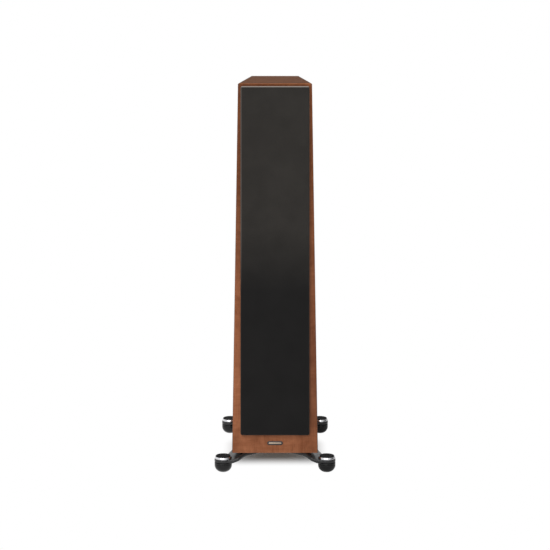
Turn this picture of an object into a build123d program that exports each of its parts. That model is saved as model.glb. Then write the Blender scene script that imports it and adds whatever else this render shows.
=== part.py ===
"""A floorstanding loudspeaker: a tapered, veneered cabinet on four levelling outriggers.

Frame: millimetres, +Z up, the front faces -Y. The origin is on the floor, midway between the four feet.
Each piece is built by itself and written to parts/, one STEP file per node.
"""

from build123d import *

import os

os.makedirs("parts", exist_ok=True)

# Fits --------------------------------------------------------------------------------------------
clearance = 0.3  # between neighbours that move past each other or are fitted loose
seat_gap = 0.3  # air under a piece that turns or lifts off its seat
thread_clearance = 0.1  # on radius, in a threaded bore

# Cabinet -----------------------------------------------------------------------------------------
overall_height = 1062.0  # floor to the top face
underside_height = 50.0  # floor to the underside of the cabinet
cabinet_depth = 380.0
base_width = 237.2  # across the front face at the underside
top_width = 197.0  # across the front face at the top
top_rear_width = 136.0  # across the rear face at the top
baffle_thickness = 30.0
panel_thickness = 19.0  # side, rear and bottom panels
top_thickness = 22.0
edge_radius = 4.0  # round on the upright outer edges
top_bevel = 3.0  # bevel around the top face
brace_thickness = 18.0
brace_rim = 26.0  # wood left around the window of a brace
wadding_thickness = 30.0
wadding_height = 130.0

# Grille ------------------------------------------------------------------------------------------
grille_base_width = 188.0
grille_top_width = 181.0
grille_top_margin = 7.0  # below the top face
grille_base_margin = 53.2  # above the underside
grille_depth = 11.2  # the moulded frame alone
grille_rim = 9.0
grille_rib = 8.0
grille_corner = 4.0
grille_bevel = 3.0  # around the frame's front, under the cloth
cloth_thickness = 0.8
magnet_width = 6.0
magnet_height = 22.0
magnet_depth = 3.0
magnet_cover = 3.0  # wood in front of a baffle magnet

# Woofers, with flanges on the face of the baffle -----------------------------------------------------
driver_gap = 12.0  # between neighbouring flanges
flange_thickness = 3.0
woofer_radius = 80.0
roll_inner_radius = 58.0  # the cone's outer edge
roll_outer_radius = 66.0  # the flange's inner edge
roll_height = 4.2  # surround in front of the flange
roll_lip = 3.0  # surround glued on the flange
basket_depth = 58.0  # all depths are measured back from the face of the baffle
basket_neck_radius = 70.0  # outside the basket, behind the flange
basket_rear_radius = 46.0
basket_wall = 3.5
cone_depth = 25.0
cone_thickness = 1.6
cap_radius = 24.0
cap_rise = 6.0
voice_coil_radius = 17.0
former_thickness = 0.8
coil_gap = 1.0  # air on each side of the voice coil
coil_overhang = 8.0  # voice coil behind the face of the motor
spider_depth = 43.0
spider_thickness = 1.2
motor_radius = 48.0
plate_thickness = 5.0
magnet_thickness = 18.0

# Tweeter -----------------------------------------------------------------------------------------
tweeter_drop = 74.0  # axis below the top face
tweeter_radius = 54.0
horn_radius = 30.0
throat_radius = 15.0
dome_rise = 3.6
dome_skirt = 1.2  # voice coil former behind the dome's edge
dome_travel = 0.5  # each way
tweeter_motor_radius = 34.0
tweeter_motor_length = 30.0

# Rear face ---------------------------------------------------------------------------------------
port_radius = 33.0
port_wall = 3.0
port_length = 150.0  # from the rear face forward
port_flange_radius = 50.0
port_flange_thickness = 3.0
port_mouth_radius = 44.0
port_flare_depth = 14.0
terminal_width = 96.0
terminal_height = 76.0
terminal_thickness = 3.0
tub_width = 76.0
tub_height = 56.0
tub_depth = 14.0
tub_wall = 2.5
terminal_rise = 118.0  # plate's centre above the underside
post_spacing = 38.0
post_radius = 4.0
post_length = 15.0  # outside the tub's floor
post_tail = 12.0  # inside the cabinet
socket_radius = 2.0  # takes a 4 mm plug
socket_depth = 12.0
post_knob_radius = 9.0  # to the corners of its hexagon
post_knob_length = 17.0

# Crossover -----------------------------------------------------------------------------------------
board_width = 110.0
board_length = 190.0
board_thickness = 9.0
coil_size = (44.0, 44.0, 34.0)
capacitor_size = (30.0, 50.0, 20.0)
network_pitch = 60.0  # along the board
network_count = 3  # coils, and capacitors beside them

# Badge -------------------------------------------------------------------------------------------
badge_width = 43.0
badge_height = 10.5
badge_thickness = 1.2
badge_rise = 27.7  # centre above the underside

# Outriggers, as offsets from the foot axis: "reach" is inboard along X, "sweep" is toward the middle ----
front_overhang = 5.0  # foot axis in front of the baffle
rear_overhang = 11.0  # foot axis behind the rear panel
front_side_overhang = 24.0  # foot axis beside the cabinet's lower front corner
rear_side_overhang = 46.3  # foot axis beside the cabinet's lower rear corner
arm_thickness = 10.0
boss_radius = 24.0
neck_sweep = -20.0  # straight edge of the neck
neck_reach = 43.0
waist_reach = 68.0  # middle of the hollow edge
waist_sweep = 8.0
root_reach = 98.0
root_sweep = 35.0
root_length = 41.0
tail_sweep = 118.0  # far end of the wing, along the cabinet
tail_reach = 30.0
tail_width = 32.0
climb_start = 27.0  # reach where the arm leaves its low level
climb_end = 60.0

# Levelling feet ------------------------------------------------------------------------------------
cup_radius = 24.0
cup_height = 26.3
cup_base_radius = 12.0
cup_side_height = 18.0  # where the cup's round meets its upright side
stud_radius = 4.0
stud_reach = 14.0  # above the cup
knob_radius = 23.6
knob_top_radius = 21.5
knob_side_height = 2.4
knob_height = 5.6
knob_cap_radius = 20.6
knob_cap_thickness = 1.8

# Places worked out from the sizes ------------------------------------------------------------------
foot_row = (cabinet_depth + front_overhang + rear_overhang) / 2
front_y = -foot_row + front_overhang
rear_y = front_y + cabinet_depth
middle_y = (front_y + rear_y) / 2
baffle_back_y = front_y + baffle_thickness
rear_inner_y = rear_y - panel_thickness
inner_middle_y = (baffle_back_y + rear_inner_y) / 2
inner_depth = rear_inner_y - baffle_back_y
top_inner_z = overall_height - top_thickness
bottom_inner_z = underside_height + panel_thickness
side_lean = (base_width - top_width) / 2 / (overall_height - underside_height)
side_toe = (top_width - top_rear_width) / 2 / cabinet_depth
grille_top_z = overall_height - grille_top_margin
grille_base_z = underside_height + grille_base_margin
grille_slope = (grille_base_width - grille_top_width) / 2 / (grille_top_z - grille_base_z)
tweeter_z = overall_height - tweeter_drop
woofer_zs = {"upper": tweeter_z - tweeter_radius - driver_gap - woofer_radius}
woofer_zs["lower"] = woofer_zs["upper"] - 2 * woofer_radius - driver_gap
above_woofers_z = woofer_zs["upper"] + woofer_radius + driver_gap / 2
between_woofers_z = woofer_zs["lower"] + woofer_radius + driver_gap / 2
below_woofers_z = woofer_zs["lower"] - woofer_radius - driver_gap / 2
lower_brace_z = (below_woofers_z + grille_base_z) / 2
brace_zs = (between_woofers_z, below_woofers_z, lower_brace_z)
rib_zs = (above_woofers_z, *brace_zs)
port_z = (below_woofers_z + lower_brace_z) / 2
terminal_z = underside_height + terminal_rise
tub_floor_y = rear_y - tub_depth + tub_wall
boss_floor_z = cup_height + seat_gap
boss_top_z = boss_floor_z + arm_thickness
pad_floor_z = underside_height - arm_thickness
knob_floor_z = boss_top_z + seat_gap
knob_top_z = knob_floor_z + knob_height
front_foot_x = base_width / 2 + front_side_overhang


def half_width(y, z):
    """Half the cabinet's width at a place on its side face."""
    return base_width / 2 - side_lean * (z - underside_height) - side_toe * (y - front_y)


def grille_half_width(z):
    """Half the grille's width at a height."""
    return grille_base_width / 2 - grille_slope * (z - grille_base_z)


rear_foot_x = half_width(rear_y, underside_height) + rear_side_overhang
feet = {
    "front_left": (-front_foot_x, -foot_row),
    "front_right": (front_foot_x, -foot_row),
    "rear_left": (-rear_foot_x, foot_row),
    "rear_right": (rear_foot_x, foot_row),
}


def side_plane(side, inset=0.0):
    """The plane of a side face moved in by inset, facing outwards. side is 1 at +X and -1 at -X."""
    normal = Vector(side, side_toe, side_lean).normalized()
    on_face = Vector(side * half_width(front_y, underside_height), front_y, underside_height)
    return Plane(origin=on_face - normal * inset, z_dir=normal)


def bevel_plane(face_normal, x, y):
    """The bevel between an upright face and the top face. It leaves the upright face at x, y."""
    return Plane(origin=(x, y, overall_height - top_bevel), z_dir=face_normal + Vector(0, 0, 1))


def facing_back(y):
    """A cutting plane that faces +Y."""
    return Plane(origin=(0, y, 0), z_dir=(0, 1, 0))


def front_view(y, z=0.0):
    """A sketch plane seen from the front: its x is +X and its y is +Z."""
    return Plane(origin=(0, y, z), x_dir=(1, 0, 0), z_dir=(0, -1, 0))


def rear_view(y, z=0.0, x=0.0):
    """A sketch plane seen from behind: its x is -X and its y is +Z."""
    return Plane(origin=(x, y, z), x_dir=(-1, 0, 0), z_dir=(0, 1, 0))


def driver_plane(z):
    """Half-section plane of a driver: x is the radius and y points out of the baffle's face."""
    return Plane(origin=(0, front_y, z), x_dir=(1, 0, 0), z_dir=(0, 0, -1))


def rear_plane(x, y, z):
    """Half-section plane of a round piece on the rear face: x is the radius and y points backward."""
    return Plane(origin=(x, y, z), x_dir=(1, 0, 0), z_dir=(0, 0, 1))


def upright_plane(x, y):
    """Half-section plane of a piece that is round about a vertical axis."""
    return Plane(origin=(x, y, 0), x_dir=(1, 0, 0), z_dir=(0, -1, 0))


def turned(plane, *outline):
    """A piece turned from half its section. The plane's y is the axis and its x the radius."""
    with BuildPart() as piece:
        with BuildSketch(plane):
            with BuildLine():
                Polyline(*outline, close=True)
            make_face()
        revolve(axis=Axis(plane.origin, plane.y_dir))
    return piece


def save(builder, name):
    """Label a finished piece and write it."""
    builder.part.label = name
    export_step(builder.part, f"parts/{name}.step")


# Cabinet -----------------------------------------------------------------------------------------
with BuildPart() as envelope:
    with BuildSketch(Plane.XY.offset(underside_height)):
        with Locations((0, middle_y)):
            Rectangle(1.2 * base_width, cabinet_depth)
    extrude(amount=overall_height - underside_height)
    split(bisect_by=side_plane(1), keep=Keep.BOTTOM)
    split(bisect_by=side_plane(-1), keep=Keep.BOTTOM)
    fillet(envelope.edges().sort_by(SortBy.LENGTH)[-4:], edge_radius)
    bevel_x = half_width(front_y, overall_height - top_bevel)
    for side in (-1, 1):
        split(bisect_by=bevel_plane(side_plane(side).z_dir, side * bevel_x, front_y), keep=Keep.BOTTOM)
    split(bisect_by=bevel_plane(Vector(0, -1, 0), 0, front_y), keep=Keep.BOTTOM)
    split(bisect_by=bevel_plane(Vector(0, 1, 0), 0, rear_y), keep=Keep.BOTTOM)

with BuildPart() as cavity:
    with BuildSketch(Plane.XY.offset(bottom_inner_z)):
        with Locations((0, inner_middle_y)):
            Rectangle(1.2 * base_width, inner_depth)
    extrude(amount=top_inner_z - bottom_inner_z)
    split(bisect_by=side_plane(1, panel_thickness), keep=Keep.BOTTOM)
    split(bisect_by=side_plane(-1, panel_thickness), keep=Keep.BOTTOM)

driver_cutouts = [(z, basket_neck_radius + 2 * clearance) for z in woofer_zs.values()]
driver_cutouts.append((tweeter_z, tweeter_motor_radius + 2 * clearance))
magnet_spots = [(side * (grille_half_width(z) - grille_rim / 2), z) for side in (-1, 1) for z in rib_zs]

with BuildPart() as front_baffle:
    add(envelope.part)
    split(bisect_by=facing_back(baffle_back_y), keep=Keep.BOTTOM)
    for z, cutout_radius in driver_cutouts:
        with BuildSketch(front_view(front_y, z)):
            Circle(cutout_radius)
        extrude(amount=-baffle_thickness, mode=Mode.SUBTRACT)
    with BuildSketch(front_view(baffle_back_y)):
        with Locations(*magnet_spots):
            Rectangle(magnet_width, magnet_height)
    extrude(amount=baffle_thickness - magnet_cover, mode=Mode.SUBTRACT)
save(front_baffle, "front_baffle")

with BuildPart() as baffle_magnets:
    with BuildSketch(front_view(front_y + magnet_cover)):
        with Locations(*magnet_spots):
            Rectangle(magnet_width, magnet_height)
    extrude(amount=-magnet_depth)
save(baffle_magnets, "baffle_magnets")

for side, side_name in ((-1, "left"), (1, "right")):
    with BuildPart() as side_panel:
        add(envelope.part)
        split(bisect_by=facing_back(baffle_back_y), keep=Keep.TOP)
        split(bisect_by=facing_back(rear_inner_y), keep=Keep.BOTTOM)
        split(bisect_by=side_plane(side, panel_thickness), keep=Keep.TOP)
        split(bisect_by=Plane.XY.offset(top_inner_z), keep=Keep.BOTTOM)
    save(side_panel, f"{side_name}_side_panel")

with BuildPart() as top_panel:
    add(envelope.part)
    split(bisect_by=facing_back(baffle_back_y), keep=Keep.TOP)
    split(bisect_by=facing_back(rear_inner_y), keep=Keep.BOTTOM)
    split(bisect_by=Plane.XY.offset(top_inner_z), keep=Keep.TOP)
save(top_panel, "top_panel")

with BuildPart() as bottom_panel:
    add(envelope.part)
    split(bisect_by=facing_back(baffle_back_y), keep=Keep.TOP)
    split(bisect_by=facing_back(rear_inner_y), keep=Keep.BOTTOM)
    split(bisect_by=side_plane(1, panel_thickness), keep=Keep.BOTTOM)
    split(bisect_by=side_plane(-1, panel_thickness), keep=Keep.BOTTOM)
    split(bisect_by=Plane.XY.offset(bottom_inner_z), keep=Keep.BOTTOM)
save(bottom_panel, "bottom_panel")

port_seat_radius = port_mouth_radius + port_wall
with BuildPart() as rear_panel:
    add(envelope.part)
    split(bisect_by=facing_back(rear_inner_y), keep=Keep.TOP)
    with BuildSketch(rear_view(rear_y, port_z)):
        Circle(port_seat_radius + clearance)
    extrude(amount=-panel_thickness, mode=Mode.SUBTRACT)
    with BuildSketch(rear_view(rear_y, terminal_z)):
        Rectangle(tub_width + 2 * clearance, tub_height + 2 * clearance)
    extrude(amount=-panel_thickness, mode=Mode.SUBTRACT)
save(rear_panel, "rear_panel")

# Window braces and damping wadding -------------------------------------------------------------------
window_width = 2 * (half_width(rear_inner_y, between_woofers_z) - panel_thickness - brace_rim)
with BuildPart() as window_braces:
    for z in brace_zs:
        with BuildSketch(Plane.XY.offset(z - brace_thickness / 2)):
            with Locations((0, inner_middle_y)):
                Rectangle(base_width, inner_depth)
                Rectangle(window_width, inner_depth - 2 * brace_rim, mode=Mode.SUBTRACT)
        extrude(amount=brace_thickness)
    add(cavity.part, mode=Mode.INTERSECT)
save(window_braces, "window_braces")


def wadding_pad(middle_z):
    """A soft pad on the inside of the rear panel, from side to side."""
    with BuildPart() as pad:
        add(cavity.part)
        split(bisect_by=facing_back(rear_inner_y - wadding_thickness), keep=Keep.TOP)
        split(bisect_by=facing_back(rear_inner_y - seat_gap), keep=Keep.BOTTOM)
        split(bisect_by=Plane.XY.offset(middle_z - wadding_height / 2), keep=Keep.TOP)
        split(bisect_by=Plane.XY.offset(middle_z + wadding_height / 2), keep=Keep.BOTTOM)
        for side in (-1, 1):
            split(bisect_by=side_plane(side, panel_thickness + seat_gap), keep=Keep.BOTTOM)
    return pad


save(wadding_pad(woofer_zs["upper"]), "upper_wadding")
save(wadding_pad(woofer_zs["lower"]), "lower_wadding")

# Badge -------------------------------------------------------------------------------------------
with BuildPart() as badge:
    with BuildSketch(front_view(front_y, underside_height + badge_rise)):
        SlotOverall(badge_width, badge_height)
    extrude(amount=badge_thickness)
save(badge, "badge")

# Grille ------------------------------------------------------------------------------------------
def grille_outline(inset=0.0):
    """Corners of the grille seen from the front, moved in by inset."""
    low, high = grille_base_z + inset, grille_top_z - inset
    wide, narrow = grille_half_width(low) - inset, grille_half_width(high) - inset
    return (-wide, low), (wide, low), (narrow, high), (-narrow, high)


with BuildPart() as grille_frame:
    with BuildSketch(front_view(front_y)) as frame_face:
        with BuildLine():
            Polyline(*grille_outline(), close=True)
        make_face()
        fillet(frame_face.vertices(), grille_corner)
    extrude(amount=grille_depth)
    chamfer(grille_frame.faces().sort_by(Axis.Y)[0].edges(), grille_bevel)
    with BuildSketch(front_view(front_y)):
        with BuildLine():
            Polyline(*grille_outline(grille_rim), close=True)
        make_face()
        for z in rib_zs:
            with Locations((0, z)):
                Rectangle(2 * grille_half_width(z), grille_rib, mode=Mode.SUBTRACT)
    extrude(amount=grille_depth, mode=Mode.SUBTRACT)
    with BuildSketch(front_view(front_y)):
        with Locations(*magnet_spots):
            Rectangle(magnet_width + 2 * thread_clearance, magnet_height + 2 * thread_clearance)
    extrude(amount=magnet_depth, mode=Mode.SUBTRACT)
save(grille_frame, "grille_frame")

with BuildPart() as grille_magnets:
    with BuildSketch(front_view(front_y)):
        with Locations(*magnet_spots):
            Rectangle(magnet_width, magnet_height)
    extrude(amount=magnet_depth)
save(grille_magnets, "grille_magnets")

with BuildPart() as grille_cloth:
    with BuildSketch(front_view(front_y - grille_depth)) as cloth_face:
        with BuildLine():
            Polyline(*grille_outline(grille_bevel), close=True)
        make_face()
        fillet(cloth_face.vertices(), grille_corner - grille_bevel)
    extrude(amount=cloth_thickness)
save(grille_cloth, "grille_cloth")

# Woofers -----------------------------------------------------------------------------------------
basket_rear_bore = basket_rear_radius - basket_wall
basket_slope = (roll_outer_radius - basket_rear_bore) / (basket_depth + flange_thickness)
spider_radius = basket_rear_bore + basket_slope * (basket_depth - spider_depth - spider_thickness)
cone_slope = (flange_thickness + cone_depth) / (roll_inner_radius - voice_coil_radius)
cap_edge = flange_thickness - cone_slope * (roll_inner_radius - cap_radius)
former_inner_radius = voice_coil_radius - former_thickness
gap_radius = voice_coil_radius + coil_gap
pole_radius = former_inner_radius - coil_gap
motor_depth = basket_depth + magnet_thickness + 2 * plate_thickness

for name, z in woofer_zs.items():
    basket = turned(
        driver_plane(z),
        (roll_outer_radius, flange_thickness),
        (woofer_radius, flange_thickness),
        (woofer_radius, 0),
        (basket_neck_radius, 0),
        (basket_rear_radius, -basket_depth),
        (basket_rear_bore, -basket_depth),
    )
    save(basket, f"{name}_woofer_basket")

    cone = turned(
        driver_plane(z),
        (0, cap_edge + cap_rise),
        (cap_radius, cap_edge),
        (roll_inner_radius, flange_thickness),
        (voice_coil_radius, -cone_depth - cone_thickness),
        (voice_coil_radius, -basket_depth - coil_overhang),
        (former_inner_radius, -basket_depth - coil_overhang),
        (former_inner_radius, cap_edge - cone_thickness),
        (0, cap_edge - cone_thickness),
    )
    save(cone, f"{name}_woofer_cone")

    surround = turned(
        driver_plane(z),
        (roll_inner_radius, flange_thickness + seat_gap),
        ((roll_inner_radius + roll_outer_radius) / 2, flange_thickness + roll_height),
        (roll_outer_radius + roll_lip, flange_thickness + seat_gap),
    )
    save(surround, f"{name}_woofer_surround")

    spider = turned(
        driver_plane(z),
        (voice_coil_radius + clearance, -spider_depth),
        (spider_radius - clearance, -spider_depth),
        (spider_radius - clearance, -spider_depth - spider_thickness),
        (voice_coil_radius + clearance, -spider_depth - spider_thickness),
    )
    save(spider, f"{name}_woofer_spider")

    motor = turned(
        driver_plane(z),
        (0, -basket_depth),
        (pole_radius, -basket_depth),
        (pole_radius, plate_thickness - motor_depth),
        (gap_radius, plate_thickness - motor_depth),
        (gap_radius, -basket_depth),
        (motor_radius, -basket_depth),
        (motor_radius, -motor_depth),
        (0, -motor_depth),
    )
    save(motor, f"{name}_woofer_motor")

# Tweeter -----------------------------------------------------------------------------------------
tweeter_faceplate = turned(
    driver_plane(tweeter_z),
    (throat_radius, 0),
    (horn_radius, flange_thickness),
    (tweeter_radius, flange_thickness),
    (tweeter_radius, 0),
)
save(tweeter_faceplate, "tweeter_faceplate")

dome_radius = throat_radius - clearance
dome_floor = dome_travel + clearance
tweeter_dome = turned(
    driver_plane(tweeter_z),
    (0, dome_floor + dome_skirt + dome_rise),
    (dome_radius, dome_floor + dome_skirt),
    (dome_radius, dome_floor),
    (0, dome_floor),
)
save(tweeter_dome, "tweeter_dome")

with BuildPart() as tweeter_motor:
    with BuildSketch(front_view(front_y, tweeter_z)):
        Circle(tweeter_motor_radius)
    extrude(amount=-tweeter_motor_length)
save(tweeter_motor, "tweeter_motor")

# Port and terminals --------------------------------------------------------------------------------
port_tube = turned(
    rear_plane(0, rear_y, port_z),
    (port_radius, -port_flare_depth),
    (port_mouth_radius, port_flange_thickness),
    (port_flange_radius, port_flange_thickness),
    (port_flange_radius, 0),
    (port_seat_radius, 0),
    (port_radius + port_wall, -port_flare_depth - port_wall),
    (port_radius + port_wall, -port_length),
    (port_radius, -port_length),
)
save(port_tube, "port_tube")

post_xs = {"left": -post_spacing / 2, "right": post_spacing / 2}
with BuildPart() as terminal_plate:
    with BuildSketch(rear_view(rear_y, terminal_z)):
        Rectangle(terminal_width, terminal_height)
    extrude(amount=terminal_thickness)
    with BuildSketch(rear_view(rear_y, terminal_z)):
        Rectangle(tub_width, tub_height)
    extrude(amount=-tub_depth)
    with BuildSketch(rear_view(rear_y + terminal_thickness, terminal_z)):
        Rectangle(tub_width - 2 * tub_wall, tub_height - 2 * tub_wall)
    extrude(amount=tub_wall - tub_depth - terminal_thickness, mode=Mode.SUBTRACT)
    with BuildSketch(rear_view(rear_y, terminal_z)):
        with Locations(*[(x, 0) for x in post_xs.values()]):
            Circle(post_radius + thread_clearance)
    extrude(amount=-tub_depth, mode=Mode.SUBTRACT)
save(terminal_plate, "terminal_plate")

for name, x in post_xs.items():
    binding_post = turned(
        rear_plane(x, tub_floor_y, terminal_z),
        (0, post_length - socket_depth),
        (socket_radius, post_length - socket_depth),
        (socket_radius, post_length),
        (post_radius, post_length),
        (post_radius, -post_tail),
        (0, -post_tail),
    )
    save(binding_post, f"{name}_binding_post")

    with BuildPart() as post_knob:
        with BuildSketch(rear_view(tub_floor_y + seat_gap, terminal_z, x)):
            RegularPolygon(post_knob_radius, 6)
            Circle(post_radius + thread_clearance, mode=Mode.SUBTRACT)
        extrude(amount=post_knob_length)
    save(post_knob, f"{name}_post_knob")

# Crossover, on the floor of the cabinet ---------------------------------------------------------------
board_top_z = bottom_inner_z + board_thickness
network_margin = (board_width - coil_size[0] - capacitor_size[0]) / 3

with BuildPart() as crossover_board:
    with BuildSketch(Plane.XY.offset(bottom_inner_z)):
        Rectangle(board_width, board_length)
    extrude(amount=board_thickness)
save(crossover_board, "crossover_board")

with BuildPart() as crossover_coils:
    with BuildSketch(Plane.XY.offset(board_top_z)):
        with Locations((network_margin + coil_size[0] / 2 - board_width / 2, 0)):
            with GridLocations(0, network_pitch, 1, network_count):
                Rectangle(coil_size[0], coil_size[1])
    extrude(amount=coil_size[2])
save(crossover_coils, "crossover_coils")

with BuildPart() as crossover_capacitors:
    with BuildSketch(Plane.XY.offset(board_top_z)):
        with Locations((board_width / 2 - network_margin - capacitor_size[0] / 2, 0)):
            with GridLocations(0, network_pitch, 1, network_count):
                Rectangle(capacitor_size[0], capacitor_size[1])
    extrude(amount=capacitor_size[2])
save(crossover_capacitors, "crossover_capacitors")

# Outriggers and levelling feet ---------------------------------------------------------------------
for name, (x, y) in feet.items():
    inboard = -1 if x > 0 else 1
    inward = -1 if y > 0 else 1
    neck_start = (x, y + inward * neck_sweep)
    neck_end = (x + inboard * neck_reach, y + inward * neck_sweep)
    waist = (x + inboard * waist_reach, y + inward * waist_sweep)
    root_start = (x + inboard * root_reach, y + inward * root_sweep)
    root_end = (x + inboard * root_reach, y + inward * (root_sweep + root_length))
    tail_inner = (x + inboard * (tail_reach + tail_width), y + inward * tail_sweep)
    tail_outer = (x + inboard * tail_reach, y + inward * tail_sweep)

    with BuildPart() as arm:
        with BuildSketch(Plane.XY):
            with BuildLine():
                Line(neck_start, neck_end)
                ThreePointArc(neck_end, waist, root_start)
                Polyline(root_start, root_end, tail_inner, tail_outer, (x, y), neck_start)
            make_face()
            with Locations((x, y)):
                Circle(boss_radius)
        extrude(amount=underside_height)
        with BuildSketch(front_view(0)):
            with BuildLine():
                Polyline(
                    (x - inboard * cup_radius, boss_floor_z),
                    (x + inboard * climb_start, boss_floor_z),
                    (x + inboard * climb_end, pad_floor_z),
                    (x + inboard * 2 * root_reach, pad_floor_z),
                    (x + inboard * 2 * root_reach, underside_height),
                    (x + inboard * climb_end, underside_height),
                    (x + inboard * climb_start, boss_top_z),
                    (x - inboard * cup_radius, boss_top_z),
                    close=True,
                )
            make_face()
        extrude(amount=cabinet_depth, both=True, mode=Mode.INTERSECT)
        with BuildSketch(Plane.XY):
            with Locations((x, y)):
                Circle(stud_radius + thread_clearance)
        extrude(amount=underside_height, mode=Mode.SUBTRACT)
    save(arm, f"{name}_arm")

    with BuildPart() as foot:
        with BuildSketch(upright_plane(x, y)):
            with BuildLine():
                bowl = TangentArc(
                    (cup_radius, cup_side_height),
                    (cup_base_radius, 0),
                    tangent=(0, -1),
                )
                Polyline(
                    bowl @ 1,
                    (0, 0),
                    (0, cup_height + stud_reach),
                    (stud_radius, cup_height + stud_reach),
                    (stud_radius, cup_height),
                    (cup_radius, cup_height),
                    bowl @ 0,
                )
            make_face()
        revolve(axis=Axis((x, y, 0), (0, 0, 1)))
    save(foot, f"{name}_foot")

    knob = turned(
        upright_plane(x, y),
        (stud_radius + thread_clearance, knob_floor_z),
        (knob_radius, knob_floor_z),
        (knob_radius, knob_floor_z + knob_side_height),
        (knob_top_radius, knob_top_z),
        (stud_radius + thread_clearance, knob_top_z),
    )
    save(knob, f"{name}_knob")

    with BuildPart() as knob_cap:
        with BuildSketch(Plane.XY.offset(knob_top_z)):
            with Locations((x, y)):
                Circle(knob_cap_radius)
        extrude(amount=knob_cap_thickness)
    save(knob_cap, f"{name}_knob_cap")
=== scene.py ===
"""Dresses a floorstanding loudspeaker: veneer, cloth grille, drivers, rear fittings, outriggers and feet.

It is laid out as an add-on and run as a script. Lengths are in metres in the frame of the packed model:
+Z up, the front faces -Y.
"""

import math

import bmesh
import bpy
from bpy.props import FloatProperty, FloatVectorProperty, IntProperty, PointerProperty
from mathutils import Euler, Matrix, Vector
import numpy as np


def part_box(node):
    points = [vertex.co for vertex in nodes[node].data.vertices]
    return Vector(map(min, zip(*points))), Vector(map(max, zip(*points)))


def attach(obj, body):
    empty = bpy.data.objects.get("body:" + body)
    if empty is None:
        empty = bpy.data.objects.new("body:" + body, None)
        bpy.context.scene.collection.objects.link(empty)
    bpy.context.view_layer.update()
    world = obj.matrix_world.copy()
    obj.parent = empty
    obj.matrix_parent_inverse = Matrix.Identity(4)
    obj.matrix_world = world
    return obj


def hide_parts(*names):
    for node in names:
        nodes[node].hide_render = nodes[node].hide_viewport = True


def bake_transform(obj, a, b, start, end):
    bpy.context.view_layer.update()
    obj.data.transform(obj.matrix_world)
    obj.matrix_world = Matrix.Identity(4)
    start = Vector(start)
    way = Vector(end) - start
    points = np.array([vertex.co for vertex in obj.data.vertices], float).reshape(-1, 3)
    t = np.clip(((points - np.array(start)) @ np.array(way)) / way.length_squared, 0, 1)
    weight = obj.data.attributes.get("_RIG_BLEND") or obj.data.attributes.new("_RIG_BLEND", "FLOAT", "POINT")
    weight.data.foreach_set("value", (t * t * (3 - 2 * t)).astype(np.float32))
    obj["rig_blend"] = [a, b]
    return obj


bl_info = {
    "name": "Floorstanding Loudspeaker",
    "version": (1, 0, 0),
    "blender": (4, 5, 0),
    "location": "3D View > Sidebar > Loudspeaker",
    "description": "Builds the finished surfaces and fittings of a floorstanding loudspeaker",
    "category": "Object",
}

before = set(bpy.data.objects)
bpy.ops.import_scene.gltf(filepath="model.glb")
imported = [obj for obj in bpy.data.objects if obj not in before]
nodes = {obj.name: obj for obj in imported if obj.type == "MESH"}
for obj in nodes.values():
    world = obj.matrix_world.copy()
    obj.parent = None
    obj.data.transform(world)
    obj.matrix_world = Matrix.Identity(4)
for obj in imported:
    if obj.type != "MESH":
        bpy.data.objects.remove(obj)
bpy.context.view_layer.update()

MM = 0.001
QUARTER = math.pi / 2
FRONT, REAR, UP = Vector((0, -1, 0)), Vector((0, 1, 0)), Vector((0, 0, 1))
WHITE = (1.0, 1.0, 1.0)
FEET = ("front_left", "front_right", "rear_left", "rear_right")
WOOFERS = ("upper_woofer", "lower_woofer")
BAFFLE_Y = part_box("front_baffle")[0].y
REAR_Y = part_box("rear_panel")[1].y
FOOT_Z, TOP_Z = (corner.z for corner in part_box("front_baffle"))


# Places read from the frame ------------------------------------------------------------------------
def middle(node):
    """The centre of a node's box."""
    low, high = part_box(node)
    return (low + high) / 2


def size(node):
    """The sides of a node's box."""
    low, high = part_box(node)
    return high - low


def on_face(node, y, outward_axis):
    """A placement at a node's centre on the face at Y, whose Z is the outward axis."""
    centre = middle(node)
    return facing(Vector((centre.x, y, centre.z)), outward_axis)


def facing(centre, outward_axis):
    """A placement whose Z is the outward axis of a round piece."""
    return Matrix.Translation(centre) @ outward_axis.to_track_quat("Z", "Y").to_matrix().to_4x4()


def top_taper():
    """The CAD's bevel around the top, and the half width just below it: where it starts, and its toe-in."""
    bevel = TOP_Z - max(corner.co.z for corner in nodes["front_baffle"].data.vertices
                        if abs(corner.co.y - BAFFLE_Y) < 0.01 * MM)
    outer = [corner.co for corner in nodes["top_panel"].data.vertices
             if abs(corner.co.z - (TOP_Z - bevel)) < 0.1 * MM]
    first_y, last_y = min(place.y for place in outer), max(place.y for place in outer)
    first_half, last_half = (max(abs(place.x) for place in outer if abs(place.y - end) < 0.1 * MM)
                             for end in (first_y, last_y))
    return bevel, first_y, first_half, (first_half - last_half) / (last_y - first_y)


# Node trees ----------------------------------------------------------------------------------------
def operator(operation, mirrored=False):
    """A method that stands for one of Python's operators and adds a Math node."""
    def method(self, *others):
        values = (self, *others)
        return self.graph.math(operation, *(values[::-1] if mirrored else values))
    return method


class Value:
    """An output of a node. Arithmetic and comparisons on it add Math nodes to its tree."""

    def __init__(self, graph, socket):
        self.graph, self.socket = graph, socket

    __add__, __radd__ = operator("ADD"), operator("ADD", mirrored=True)
    __sub__, __rsub__ = operator("SUBTRACT"), operator("SUBTRACT", mirrored=True)
    __mul__, __pow__, __abs__ = operator("MULTIPLY"), operator("POWER"), operator("ABSOLUTE")
    __lt__, __gt__ = operator("LESS_THAN"), operator("GREATER_THAN")
    least, most, sine, root = operator("MINIMUM"), operator("MAXIMUM"), operator("SINE"), operator("SQRT")


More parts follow.
